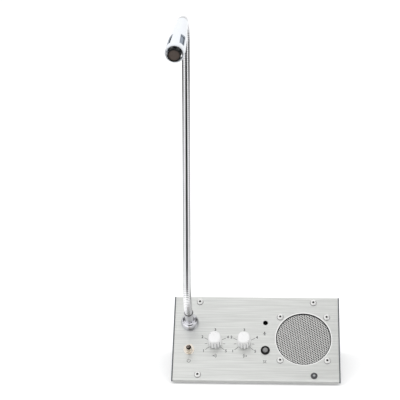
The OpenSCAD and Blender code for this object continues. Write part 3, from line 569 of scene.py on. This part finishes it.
def screw_outline(shank):
    """Half a screw as (radius, height) points: shank, painted shadow ring, side and button crown."""
    outline = [(SHANK_R, -shank), (SHANK_R, SHADOW_RING_LOW), (SHADOW_RING_R, SHADOW_RING_LOW),
               (SHADOW_RING_R, SHADOW_RING_TOP), (HEAD_R, SHADOW_RING_TOP), (HEAD_R, SIDE_H)]
    for k in range(1, 6):
        angle = math.radians(15 * k)
        outline.append((HEAD_R - SHOULDER_IN * (1 - math.cos(angle)),
                        SIDE_H + SHOULDER_UP * math.sin(angle)))
    return outline + [(CROWN_R, CROWN_Z - SOCKET_LIP), (SOCKET_R + SOCKET_LIP, CROWN_Z)]


def sink_socket(bm, open_edges):
    """Extrude the open crown in to a hexagon and down, and close it with a floor."""
    lip = bmesh.ops.extrude_edge_only(bm, edges=open_edges)["geom"]
    for v in (g for g in lip if isinstance(g, bmesh.types.BMVert)):
        angle = math.atan2(v.co.y, v.co.x)
        r = hexagon_reach(SOCKET_R, angle)
        v.co = Vector((r * math.cos(angle), r * math.sin(angle), LIP_Z))
    lip_edges = [g for g in lip if isinstance(g, bmesh.types.BMEdge)]
    deep = bmesh.ops.extrude_edge_only(bm, edges=lip_edges)["geom"]
    for v in (g for g in deep if isinstance(g, bmesh.types.BMVert)):
        v.co.z = CROWN_Z - SOCKET_DEEP
    floor_edges = [g for g in deep if isinstance(g, bmesh.types.BMEdge)]
    floor = bmesh.ops.contextual_create(bm, geom=floor_edges)["faces"]
    # The socket's faces take a dark finish: painted shade.
    for face in [g for g in deep if isinstance(g, bmesh.types.BMFace)] + floor:
        face.material_index = RECESS


def button_screw(shank):
    """A closed button-head screw, its head on z = 0."""
    bm = turned(screw_outline(shank), SCREW_STEPS)
    # The grey ring round the head's foot is a painted shadow.
    for face in bm.faces:
        middle = face.calc_center_median()
        if middle.xy.length > HEAD_R - 0.01 * MM and middle.z < SHADOW_RING_TOP + 0.01 * MM:
            face.material_index = SHADOW_RING
    open_edges = [e for e in bm.edges if len(e.link_faces) == 1]
    sink_socket(bm, [e for e in open_edges if all(v.co.z > HEAD_H / 2 for v in e.verts)])
    bmesh.ops.holes_fill(bm, edges=[e for e in bm.edges if len(e.link_faces) == 1], sides=0)
    return bm


print("screw outline", len(screw_outline(0.0)), "points")

# %% Drive the screws
COVER_HALF = (60.2 * MM, 41.2 * MM)
SPEAKER_HALF = 24.4 * MM
# The darkened screw: its head painted dark as a duller reflection, its socket lighter zinc.
DARK_OF = {0: DARK_HEAD, RECESS: DARK_RECESS, SHADOW_RING: SHADOW_RING}


def screw_square(name, centre_x, half_x, half_y, shank, node, dark_corner=None):
    """Four screws at the corners of a rectangle, each turned by its own chance angle."""
    chance = random.Random(name)
    screws = bmesh.new()
    for corner in ((-1, -1), (-1, 1), (1, -1), (1, 1)):
        one = button_screw(shank)
        one.transform(on_panel(centre_x + corner[0] * half_x, corner[1] * half_y)
                      @ Matrix.Rotation(chance.uniform(0, math.tau), 4, "Z"))
        if corner == dark_corner:
            for face in one.faces:
                face.material_index = DARK_OF[face.material_index]
        with_pieces(screws, one)
    piece = place_piece(name, screws, Matrix.Identity(4), "screw_steel", "housing", (node,),
                        others=("recess_dark", "screw_dark", "zinc_steel", "washer_grey"))
    print(name, len(piece.data.polygons), "faces")


screw_square("cover_button_screws", 0, *COVER_HALF, 4.5 * MM, "cover_screws", (1, -1))
screw_square("speaker_button_screws", SPEAKER_X, SPEAKER_HALF, SPEAKER_HALF, 7.5 * MM,
             "speaker_screws")

# %% [markdown]
# ## Gooseneck
# The neck is a steel winding that leaves the panel square to it, bends upright, leans back a
# little and turns over into the microphone. A curve object could be drawn along it by hand. A
# function of the length along the neck is better here, because it gives the place and the heading
# at any point.

# %% Draw the neck's centre line
NECK_D = 8.4 * MM
NECK_STRAIGHT = 30 * MM
BEND_R = 45 * MM
STEM = 250 * MM
CROOK_R = 25 * MM
LEAN_BACK = math.radians(5)
LEAN_SIDE = math.radians(0.7)
CROOK_TURN = math.radians(104.4)
CROOK_YAW = math.radians(1.5)
NECK_X, NECK_UP = -70 * MM, 17 * MM

neck_base = on_panel(NECK_X, NECK_UP).translation
bend_end = NECK_STRAIGHT + BEND_R * (slope + LEAN_BACK)
crook_start = bend_end + STEM
neck_end = crook_start + CROOK_R * CROOK_TURN
stem_way = Vector((math.sin(LEAN_SIDE), math.cos(LEAN_SIDE) * math.sin(LEAN_BACK),
                   math.cos(LEAN_SIDE) * math.cos(LEAN_BACK)))
out_way = Vector((-math.sin(CROOK_YAW), -math.cos(CROOK_YAW), 0))
crook_way = (out_way - stem_way * out_way.dot(stem_way)).normalized()
bend_centre = neck_base + NECK_STRAIGHT * normal + BEND_R * up_slope
stem_base = bend_centre - BEND_R * Vector((0, math.cos(LEAN_BACK), -math.sin(LEAN_BACK)))
crook_centre = stem_base + STEM * stem_way + CROOK_R * crook_way


def neck_line(s):
    """The point and the heading of the centre line, s metres from the panel's face."""
    if s <= NECK_STRAIGHT:
        return neck_base + s * normal, normal
    if s <= bend_end:
        a = (s - NECK_STRAIGHT) / BEND_R - slope
        return (bend_centre - BEND_R * Vector((0, math.cos(a), -math.sin(a))),
                Vector((0, math.sin(a), math.cos(a))))
    if s <= crook_start:
        return stem_base + (s - bend_end) * stem_way, stem_way
    b = (s - crook_start) / CROOK_R
    return (crook_centre - CROOK_R * math.cos(b) * crook_way + CROOK_R * math.sin(b) * stem_way,
            math.cos(b) * stem_way + math.sin(b) * crook_way)


print("neck length", round(neck_end / MM, 1), "mm, ends at", tuple(neck_line(neck_end)[0]))

# %% [markdown]
# The winding has low ribs with fine grooves between them, and the grooves are painted dark as
# shade. A swept circle with a bump pattern would look flat at its outline, so the ribs are real.
# Each row of the mesh follows one point of the rib's profile round the helix, which keeps crests
# and grooves sharp along the whole neck.
# It is made in three stretches, each over one of the CAD model's short hinges.

# %% Wind the ribs
RIB_PITCH = 2.15 * MM
GROOVE_DEEP = 0.24 * MM
GROOVE_SHARE = 0.12
CREST_SAG = 0.12 * MM
NECK_SIDES = 40
GROOVE = 1
PROFILE = [(0.0, GROOVE_DEEP + CREST_SAG)]
for step in range(7):
    along = step / 3 - 1
    PROFILE.append((0.5 + along * (1 - GROOVE_SHARE) / 2, CREST_SAG * along ** 2))


def wound_row(bm, turn, phase, depth):
    """One turn of vertices round the neck, at one point of the rib's profile."""
    row = []
    for k in range(NECK_SIDES + 1):
        point, way = neck_line(min((turn + phase + k / NECK_SIDES) * RIB_PITCH, neck_end))
        side = (Vector((1, 0, 0)) - way * way.x).normalized()
        angle = math.tau * k / NECK_SIDES
        out = math.cos(angle) * side + math.sin(angle) * way.cross(side)
        row.append(bm.verts.new(point + (NECK_D / 2 - depth) * out))
    return row


def wound_neck(name, first_turn, last_turn, bodies, flex_mid, nodes):
    """A stretch of the winding in whole turns; its bodies are not used."""
    bm = bmesh.new()
    rows = [wound_row(bm, turn, phase, depth) for turn in range(first_turn, last_turn)
            for phase, depth in PROFILE]
    rows.append(wound_row(bm, last_turn, *PROFILE[0]))
    # Faces beside a groove take a dark finish: painted shade.
    for i in range(len(rows) - 1):
        by_groove = i % len(PROFILE) in (0, len(PROFILE) - 1)
        for k in range(NECK_SIDES):
            face = bm.faces.new((rows[i][k], rows[i][k + 1], rows[i + 1][k + 1],
                                 rows[i + 1][k]))
            face.material_index = GROOVE if by_groove else 0
    bmesh.ops.remove_doubles(bm, verts=bm.verts[:], dist=MERGE_DIST)
    bmesh.ops.holes_fill(bm, edges=[e for e in bm.edges if e.is_boundary], sides=0)
    piece = place_piece(name, bm, Matrix.Identity(4), "neck_chrome", None, nodes,
                        others=("neck_groove",))
    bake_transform(piece)
    print(name, last_turn - first_turn, "turns,", len(piece.data.polygons), "faces")


# %% Join the neck's three stretches
NECK_START = 12 * MM
root_mid = (NECK_STRAIGHT + bend_end) / 2
side_mid = bend_end + 44 * MM
top_mid = crook_start + 8 * MM
turns = [round(s / RIB_PITCH) for s in (NECK_START, (root_mid + side_mid) / 2,
                                        (side_mid + top_mid) / 2)]
turns.append(int(neck_end / RIB_PITCH))
print("turns at the joins", turns)
wound_neck("neck_winding_low", *turns[0:2], ("housing", "lower_neck"), root_mid,
           ("neck_root", "neck_flex_root", "neck_lower"))
wound_neck("neck_winding_middle", *turns[1:3], ("lower_neck", "stem"), side_mid,
           ("neck_flex_side", "neck_stem"))
wound_neck("neck_winding_top", *turns[2:4], ("stem", "microphone"), top_mid,
           ("neck_flex_top", "neck_crook"))

# %% [markdown]
# ## Neck flange
# The neck stands in a chromed dome with a sleeve. Both came off a lathe, so both are one outline
# turned about the neck's axis: a quarter of an ellipse for the dome, a straight wall and a softly
# broken edge for the sleeve. Its bore is painted dark, as shade.

# %% Turn the flange
DOME_R, DOME_H = 9.5 * MM, 8.5 * MM
DOME_FOOT = 0.3 * MM
DOME_ARC, DOME_STEPS = 85, 16
SLEEVE_R, SLEEVE_H = 4.8 * MM, 26.5 * MM
SLEEVE_FILLET = 0.2 * MM
BORE_R = 4.3 * MM
BORE = 1
dome_reach = DOME_R - SLEEVE_R - SLEEVE_FILLET
flange_outline = [(BORE_R, 0.05 * MM), (DOME_R - 0.2 * MM, 0.05 * MM)]
for k in range(DOME_STEPS + 1):
    angle = math.radians(DOME_ARC * k / DOME_STEPS)
    flange_outline.append((SLEEVE_R + SLEEVE_FILLET + dome_reach * math.cos(angle),
                           DOME_FOOT + (DOME_H - DOME_FOOT) * math.sin(angle)))
flange_outline += [(SLEEVE_R, flange_outline[-1][1] + 0.3 * MM), (SLEEVE_R, SLEEVE_H - 0.4 * MM),
                   (SLEEVE_R - 0.06 * MM, SLEEVE_H - 0.1 * MM),
                   (SLEEVE_R - 0.14 * MM, SLEEVE_H), (BORE_R, SLEEVE_H - 0.7 * MM),
                   (BORE_R, SLEEVE_H - 2 * MM)]
flange = turned(flange_outline, FINE_STEPS)
# The bore's faces take the dark recess finish: painted shade.
for face in flange.faces:
    if face.calc_center_median().xy.length < SLEEVE_R - 0.15 * MM:
        face.material_index = BORE
place_piece("neck_flange_dome", flange, on_panel(NECK_X, NECK_UP), "flange_chrome", "housing",
            ("neck_flange",), others=("recess_dark",))
print("flange points", len(flange_outline))

# %% [markdown]
# ## Microphone
# The head is a slim white cone with a slotted front tube, a ring at its rear and a black boot
# round its capsule. The CAD pieces already have these shapes, so copies of them only get their
# edges rounded. The cone turns so gently at its ends that a smaller angle counts as an edge there.

# %% Round the microphone's edges
refined("mic_cone", "mic_rear_cone", 0.25 * MM, "microphone", above=12.0)
refined("mic_tube", "mic_housing", 0.2 * MM, "microphone")
refined("mic_ring", "mic_end_ring", 0.2 * MM, "microphone")
refined("capsule_boot", "mic_boot", 0.4 * MM, "microphone", segments=3)

# %% [markdown]
# ## Knobs
# Each knob is a silver-white moulding: a skirt with twelve flutes that run out below its crown,
# and a low raised wedge on the crown as its pointer. Cutting flutes with a boolean leaves ragged
# faces where they run out. Rings of points, pulled inward where a flute is, make the whole shape
# in one clean skin. Each ring has a radius and a height in millimetres, and a share that says how
# deep its flutes are. The flutes are painted darker as shade, and the lands between them lighter
# as a painted highlight.

# %% Draw a knob's rings
KNOB_RINGS = [(5.6, 0.92, 0.0), (7.0, 0.95, 0.9), (7.0, 2.0, 1.0), (7.0, 8.0, 1.0),
              (7.0, 10.0, 0.95), (7.0, 11.2, 0.75), (7.0, 12.2, 0.45), (6.98, 13.0, 0.15),
              (6.94, 14.0, 0.0), (6.75, 15.0, 0.0), (6.35, 15.7, 0.0), (5.7, 16.05, 0.0),
              (4.2, 16.15, 0.0), (2.6, 16.15, 0.0), (1.1, 16.15, 0.0)]
CROWN_FROM = 14.5
FLUTES = 12
KNOB_SIDES = FLUTES * 10
FLUTE_TURN = math.radians(-8.5)
FLUTE_DEEP = 1.0 * MM
FLUTE_SOFT = 0.8
FLUTE_EDGE = 0.55
WEDGE_H = 0.3 * MM
WEDGE_HALF = math.radians(24)
WEDGE_FROM, WEDGE_TO = 1.5, 6.1


def flute_wave(angle):
    """1 in the middle of a flute, 0 or less on the land between two."""
    return math.cos(FLUTES * (angle - FLUTE_TURN))


def knob_ring(bm, radius, height, flute):
    """One ring of a knob's points, with its flutes and its part of the pointer."""
    ring = []
    for k in range(KNOB_SIDES):
        angle = math.tau * k / KNOB_SIDES
        r = radius * MM - FLUTE_DEEP * flute * max(0.0, flute_wave(angle)) ** FLUTE_SOFT
        off = abs(math.remainder(angle - math.tau / 4, math.tau))
        raised = off < WEDGE_HALF and height > CROWN_FROM and WEDGE_FROM < radius < WEDGE_TO
        ring.append(bm.verts.new((r * math.cos(angle), r * math.sin(angle),
                                  height * MM + (WEDGE_H if raised else 0.0))))
    return ring


print("knob", len(KNOB_RINGS), "rings of", KNOB_SIDES, "points")

# %% Skin the knobs
KNOB_X = {"talk": -43 * MM, "listen": -12.5 * MM}
FLUTE, LAND = 1, 2


def knob_skin():
    """One knob as a bmesh, its axis on Z and its pointer along +Y."""
    bm = bmesh.new()
    rings = [knob_ring(bm, *ring) for ring in KNOB_RINGS]
    # Deep flute faces take the darker finish as painted shade, lands the lighter as painted highlight.
    for low, high, (_, height, flute) in zip(rings, rings[1:], KNOB_RINGS[1:]):
        for k in range(KNOB_SIDES):
            n = (k + 1) % KNOB_SIDES
            face = bm.faces.new((low[k], low[n], high[n], high[k]))
            deep = flute_wave(math.tau * (k + 0.5) / KNOB_SIDES) > FLUTE_EDGE
            if height < CROWN_FROM:
                face.material_index = FLUTE if deep and flute > 0.5 else LAND
    bm.faces.new(reversed(rings[0]))
    bm.faces.new(rings[-1])
    return bm


for word, x in KNOB_X.items():
    knob = place_piece(f"{word}_knob_body", knob_skin(), on_panel(x, KNOB_UP), "knob_silver",
                       f"{word}_knob", (f"knob_{word}",), others=("knob_flute", "knob_land"))
    print(knob.name, len(knob.data.polygons), "faces")

# %% [markdown]
# ## Switch, lamp and sockets
# These are small bought-in parts, plated or moulded. Their CAD shapes are right and only their
# edges are too sharp, so rounded copies take their places. The switch's body is blue inside the
# case, while its bushing is nickel plated where it comes through the panel. A finish's number is
# its place in the piece's list, and the first is 0.

# %% Round the small parts' edges
NICKEL_FROM = -2.5 * MM
NICKEL = 1
bushing = refined("toggle_bushing", "switch_body", 0.12 * MM, "housing")
bushing.data.materials.append(finishes["switch_nickel"])
for face in bushing.data.polygons:
    if (Vector(face.center) - panel_centre).dot(normal) > NICKEL_FROM:
        face.material_index = NICKEL
lever = refined("toggle_lever", "switch_lever", 0.15 * MM, "power_lever")
# The lever's chrome is coloured dark brown: a painted reflection of the dark in front of it.
lever.data.materials[0] = finishes["lever_chrome"]
for name, node, width in (("toggle_washer", "switch_washer", 0.12),
                          ("toggle_nut", "switch_nut", 0.25),
                          ("lamp_ring", "lamp_bezel", 0.2),
                          ("rear_socket_1", "socket_power", 0.2),
                          ("rear_socket_2", "socket_window_unit", 0.2),
                          ("rear_socket_3", "socket_record", 0.2),
                          ("rear_socket_rings", "socket_nuts", 0.25)):
    refined(name, node, width * MM, "housing")

# %% [markdown]
# ## Dial marks
# The dials are printed on the panel: ticks round each knob, with the numbers 1 to 5. Print could
# be part of the panel's material, but then its edges would be soft. Very thin bars and numerals
# that lie on the face stay sharp at any distance.

# %% Print the dials
INK_T = 0.03 * MM
DIAL_STEP = math.radians(64)
LONG_TICK, SHORT_TICK = (7.9 * MM, 12.6 * MM), (8.2 * MM, 10.8 * MM)
TICK_W = 0.4 * MM
NUMERAL_AT, NUMERAL_SIZE = 14.9 * MM, 4.1 * MM
NUMERAL_BOLD = 0.09 * MM


def ink_bar(bm, x, y, w, h, turn=0.0):
    """A thin printed bar, centred on a place of the panel."""
    made = bmesh.ops.create_cube(bm, size=1.0)
    bmesh.ops.transform(bm, verts=made["verts"], matrix=Matrix.Translation((x, y, INK_T / 2))
                        @ Matrix.Rotation(turn, 4, "Z") @ Matrix.Diagonal((w, h, INK_T, 1)))


def numeral(text):
    """A printed numeral as a bmesh, centred on the origin."""
    font = bpy.data.curves.new("numeral", "FONT")
    font.body = text
    font.size = NUMERAL_SIZE
    font.align_x = "CENTER"
    font.align_y = "CENTER"
    font.extrude = INK_T / 2
    font.offset = NUMERAL_BOLD
    font.resolution_u = 4
    shown = bpy.data.objects.new("numeral", font)
    bpy.context.scene.collection.objects.link(shown)
    bpy.context.view_layer.update()
    mesh = bpy.data.meshes.new_from_object(shown.evaluated_get(
        bpy.context.evaluated_depsgraph_get()))
    bm = bmesh.new()
    bm.from_mesh(mesh)
    bpy.data.objects.remove(shown)
    bpy.data.curves.remove(font)
    bpy.data.meshes.remove(mesh)
    return bm


def dial(name, centre_x):
    """Ticks and the numbers 1 to 5 round a knob."""
    bm = bmesh.new()
    for half in range(-4, 5):
        angle = half * DIAL_STEP / 2
        numbered = half % 2 == 0
        near, far = LONG_TICK if numbered else SHORT_TICK
        middle = (near + far) / 2
        ink_bar(bm, math.sin(angle) * middle, math.cos(angle) * middle, TICK_W, far - near,
                -angle)
        if numbered:
            mark = numeral(str(3 + half // 2))
            mark.transform(Matrix.Translation((math.sin(angle) * NUMERAL_AT,
                                               math.cos(angle) * NUMERAL_AT, INK_T / 2)))
            with_pieces(bm, mark)
    print(name, len(bm.faces), "faces")
    place_piece(name, bm, on_panel(centre_x, KNOB_UP), "dial_ink", "housing", smooth=False)


for word, x in KNOB_X.items():
    dial(f"dial_{word}", x)

# %% [markdown]
# Beside each control a small printed sign says what it is for. Plain pictograms can be read in any
# language. Each is drawn from the same thin bars, and a row of short ones makes an arc.

# %% Print the pictograms
STROKE = 0.45 * MM
BAR_OVERLAP = 1.08


def ink_arc(bm, x, y, r, width, first=0.0, last=360.0, steps=20):
    """A printed arc between two angles in degrees, counted from the right."""
    for k in range(steps):
        middle = math.radians(first + (last - first) * (k + 0.5) / steps)
        length = r * math.radians(last - first) / steps * BAR_OVERLAP
        ink_bar(bm, x + r * math.cos(middle), y + r * math.sin(middle), width, length, middle)


def sign_power(bm):
    """A ring broken by a bar: power."""
    ink_arc(bm, 0, 0, 1.7 * MM, STROKE, 120, 420)
    ink_bar(bm, 0, 1.3 * MM, STROKE, 1.8 * MM)


def sign_microphone(bm):
    """A capsule over a cup and a foot: microphone."""
    ink_bar(bm, 0, 0.9 * MM, 1.0 * MM, 2.0 * MM)
    ink_arc(bm, 0, 0.6 * MM, 1.3 * MM, STROKE, 190, 350)
    ink_bar(bm, 0, -1.2 * MM, STROKE, 1.0 * MM)
    ink_bar(bm, 0, -1.8 * MM, 2.0 * MM, STROKE)


def sign_lamp(bm):
    """A ring with four rays: lamp."""
    ink_arc(bm, 0, 0, 1.0 * MM, STROKE)
    for quarter in range(4):
        angle = math.radians(45 + 90 * quarter)
        ink_bar(bm, 2.0 * MM * math.cos(angle), 2.0 * MM * math.sin(angle), STROKE, 0.9 * MM,
                angle - math.tau / 4)


def sign_waves(bm, way):
    """A dot with two waves that leave it (way 1) or reach it (way -1)."""
    dot_x = -way * 2.2 * MM
    middle = 0 if way > 0 else 180
    ink_arc(bm, dot_x, 0, 0.35 * MM, 0.7 * MM)
    for r in (1.7 * MM, 3.1 * MM):
        ink_arc(bm, dot_x, 0, r, STROKE, middle - 42, middle + 42, 10)


for name, x, up, draw in (("sign_power", -69.9, -26, sign_power),
                          ("sign_mic", 8.9, 5.6, sign_microphone),
                          ("sign_lamp", 9.2, -26.1, sign_lamp),
                          ("sign_talk", -42.2, -20, lambda bm: sign_waves(bm, 1)),
                          ("sign_listen", -12.2, -20, lambda bm: sign_waves(bm, -1))):
    sign = bmesh.new()
    draw(sign)
    print(name, len(sign.faces), "faces")
    place_piece(name, sign, on_panel(x * MM, up * MM), "dial_ink", "housing", smooth=False)

# %% [markdown]
# ## Floor, light and surroundings
# The floor is a plain pale sheet that keeps the object's shadow and glows a little for the camera
# and for reflections. The world is a white room. Polished chrome only looks like chrome when it
# has something dark to mirror, so black cards stand in front and grey ones at the sides. A pale
# card above and a grey one under the panel's front edge soften what the panel mirrors. Only
# reflections see the cards, so they never dim the object.

# %% Make the stage's materials
def stage_card(name, corners, material, seen=True):
    """A flat card of the stage, from its corners; an unseen one shows in reflections only."""
    bm = bmesh.new()
    bm.faces.new([bm.verts.new(c) for c in corners])
    mesh = bpy.data.meshes.new(name)
    bm.to_mesh(mesh)
    bm.free()
    card = bpy.data.objects.new(name, mesh)
    bpy.context.scene.collection.objects.link(card)
    mesh.materials.append(material)
    if not seen:
        card.visible_camera = card.visible_diffuse = card.visible_shadow = False


def background_ray(tree):
    """1 for camera, gloss and glass rays, from a Light Path node."""
    path = tree.nodes.new("ShaderNodeLightPath")
    total = path.outputs["Is Camera Ray"]
    for output in ("Is Glossy Ray", "Is Transmission Ray"):
        larger = tree.nodes.new("ShaderNodeMath")
        larger.operation = "MAXIMUM"
        tree.links.new(total, larger.inputs[0])
        tree.links.new(path.outputs[output], larger.inputs[1])
        total = larger.outputs[0]
    return total


def lit_white(name, grey, glow):
    """White that keeps shadows and adds a glow for camera, gloss and glass rays."""
    material, tree, shader = start_material(name, (grey,) * 3, 0.0, 0.9)
    strength = tree.nodes.new("ShaderNodeMath")
    strength.operation = "MULTIPLY"
    strength.inputs[1].default_value = glow
    tree.links.new(background_ray(tree), strength.inputs[0])
    shader.inputs["Emission Color"].default_value = (1, 1, 1, 1)
    tree.links.new(strength.outputs[0], shader.inputs["Emission Strength"])
    return material


CARD_GREYS = {"black_velvet": 0.004, "side_card": 0.06, "grey_card": 0.1, "lip_card": 0.5,
              "pale_card": 0.8}
cards = {name: start_material(name, (grey,) * 3, 0.0, 1.0)[0]
         for name, grey in CARD_GREYS.items()}
print(len(cards), "card greys")

# %% Lay the floor and stand the cards
FLOOR_FRONT, FLOOR_FAR = -0.145, 4.0
FLOOR_STEP, FLOOR_NEAR_HALF, FLOOR_FAR_HALF = 0.5, 0.75, 3
FRONT_Y, FRONT_LOW, FRONT_TOP = -4.0, -0.02, 1.8
FRONT_LEFT, FRONT_RIGHT = -1.35, 2.75


def level_card(name, x0, x1, y0, y1, z, material):
    """An unseen card that lies level."""
    stage_card(name, [(x0, y0, z), (x1, y0, z), (x1, y1, z), (x0, y1, z)], cards[material],
               False)


stage_card("floor", [(-FLOOR_NEAR_HALF, FLOOR_FRONT, 0), (FLOOR_NEAR_HALF, FLOOR_FRONT, 0),
                     (FLOOR_NEAR_HALF, FLOOR_STEP, 0), (FLOOR_FAR_HALF, FLOOR_STEP, 0),
                     (FLOOR_FAR_HALF, FLOOR_FAR, 0), (-FLOOR_FAR_HALF, FLOOR_FAR, 0),
                     (-FLOOR_FAR_HALF, FLOOR_STEP, 0), (-FLOOR_NEAR_HALF, FLOOR_STEP, 0)],
           lit_white("floor_white", 0.78, 0.27))
stage_card("front_black", [(FRONT_LEFT, FRONT_Y, FRONT_LOW), (FRONT_RIGHT, FRONT_Y, FRONT_LOW),
                           (FRONT_RIGHT, FRONT_Y, FRONT_TOP), (FRONT_LEFT, FRONT_Y, FRONT_TOP)],
           cards["black_velvet"], False)
stage_card("front_black_floor",
           [(FRONT_LEFT, FRONT_Y, FRONT_LOW), (FRONT_RIGHT, FRONT_Y, FRONT_LOW),
            (0.08, FLOOR_FRONT, FRONT_LOW), (-0.15, FLOOR_FRONT, FRONT_LOW)],
           cards["black_velvet"], False)
level_card("pale_overhead", 0.02, 0.7, -0.5, -0.06, 0.5, "pale_card")
level_card("lip_grey", -0.1, 0.1, -0.04, -0.009, 0.0005, "lip_card")
for side, x, inner in (("left", -0.45, -0.29), ("right", 0.31, 0.15)):
    stage_card(f"{side}_side", [(x, -0.12, 0.12), (x, 0.3, 0.12), (x, 0.3, 0.7),
                                (x, -0.12, 0.7)], cards["side_card"], False)
    level_card(f"{side}_grey_floor", inner, x, -0.05, 0.25, 0.001, "grey_card")
print("floor from y", FLOOR_FRONT, "to", FLOOR_FAR)

# %% [markdown]
# The world alone would light the object evenly, without shape. Two large square lamps above it,
# one at each side, add soft shadows. They stay out of reflections, where they would burn spots
# into the chrome.

# %% Light the room
WORLD_LIGHT, WORLD_SEEN = 0.95, 1.0
LAMP_SIZE = 0.9
LAMP_TARGET = Vector((0, 0.03, 0.1))

world = bpy.data.worlds.new("room")
bpy.context.scene.world = world
world.use_nodes = True
room = world.node_tree
background = room.nodes["Background"]
background.inputs["Color"].default_value = (1, 1, 1, 1)
strength = room.nodes.new("ShaderNodeMapRange")
strength.inputs["To Min"].default_value = WORLD_LIGHT
strength.inputs["To Max"].default_value = WORLD_SEEN
room.links.new(background_ray(room), strength.inputs["Value"])
room.links.new(strength.outputs["Result"], background.inputs["Strength"])

for name, x, power in (("lamp_left", -1.2, 8.0), ("lamp_right", 1.2, 6.0)):
    place = Vector((x, 0.1, 1.3))
    data = bpy.data.lights.new(name, "AREA")
    data.shape = "SQUARE"
    data.size = LAMP_SIZE
    data.energy = power
    lamp = bpy.data.objects.new(name, data)
    bpy.context.scene.collection.objects.link(lamp)
    lamp.visible_glossy = False
    lamp.matrix_world = (Matrix.Translation(place)
                         @ (LAMP_TARGET - place).to_track_quat("-Z", "Y").to_matrix().to_4x4())
    print(name, power, "W")

# %% [markdown]
# ## Finish
# The view is plain, so that a colour renders about as it is written.

# %% Set a plain view
bpy.context.scene.view_settings.view_transform = "Standard"
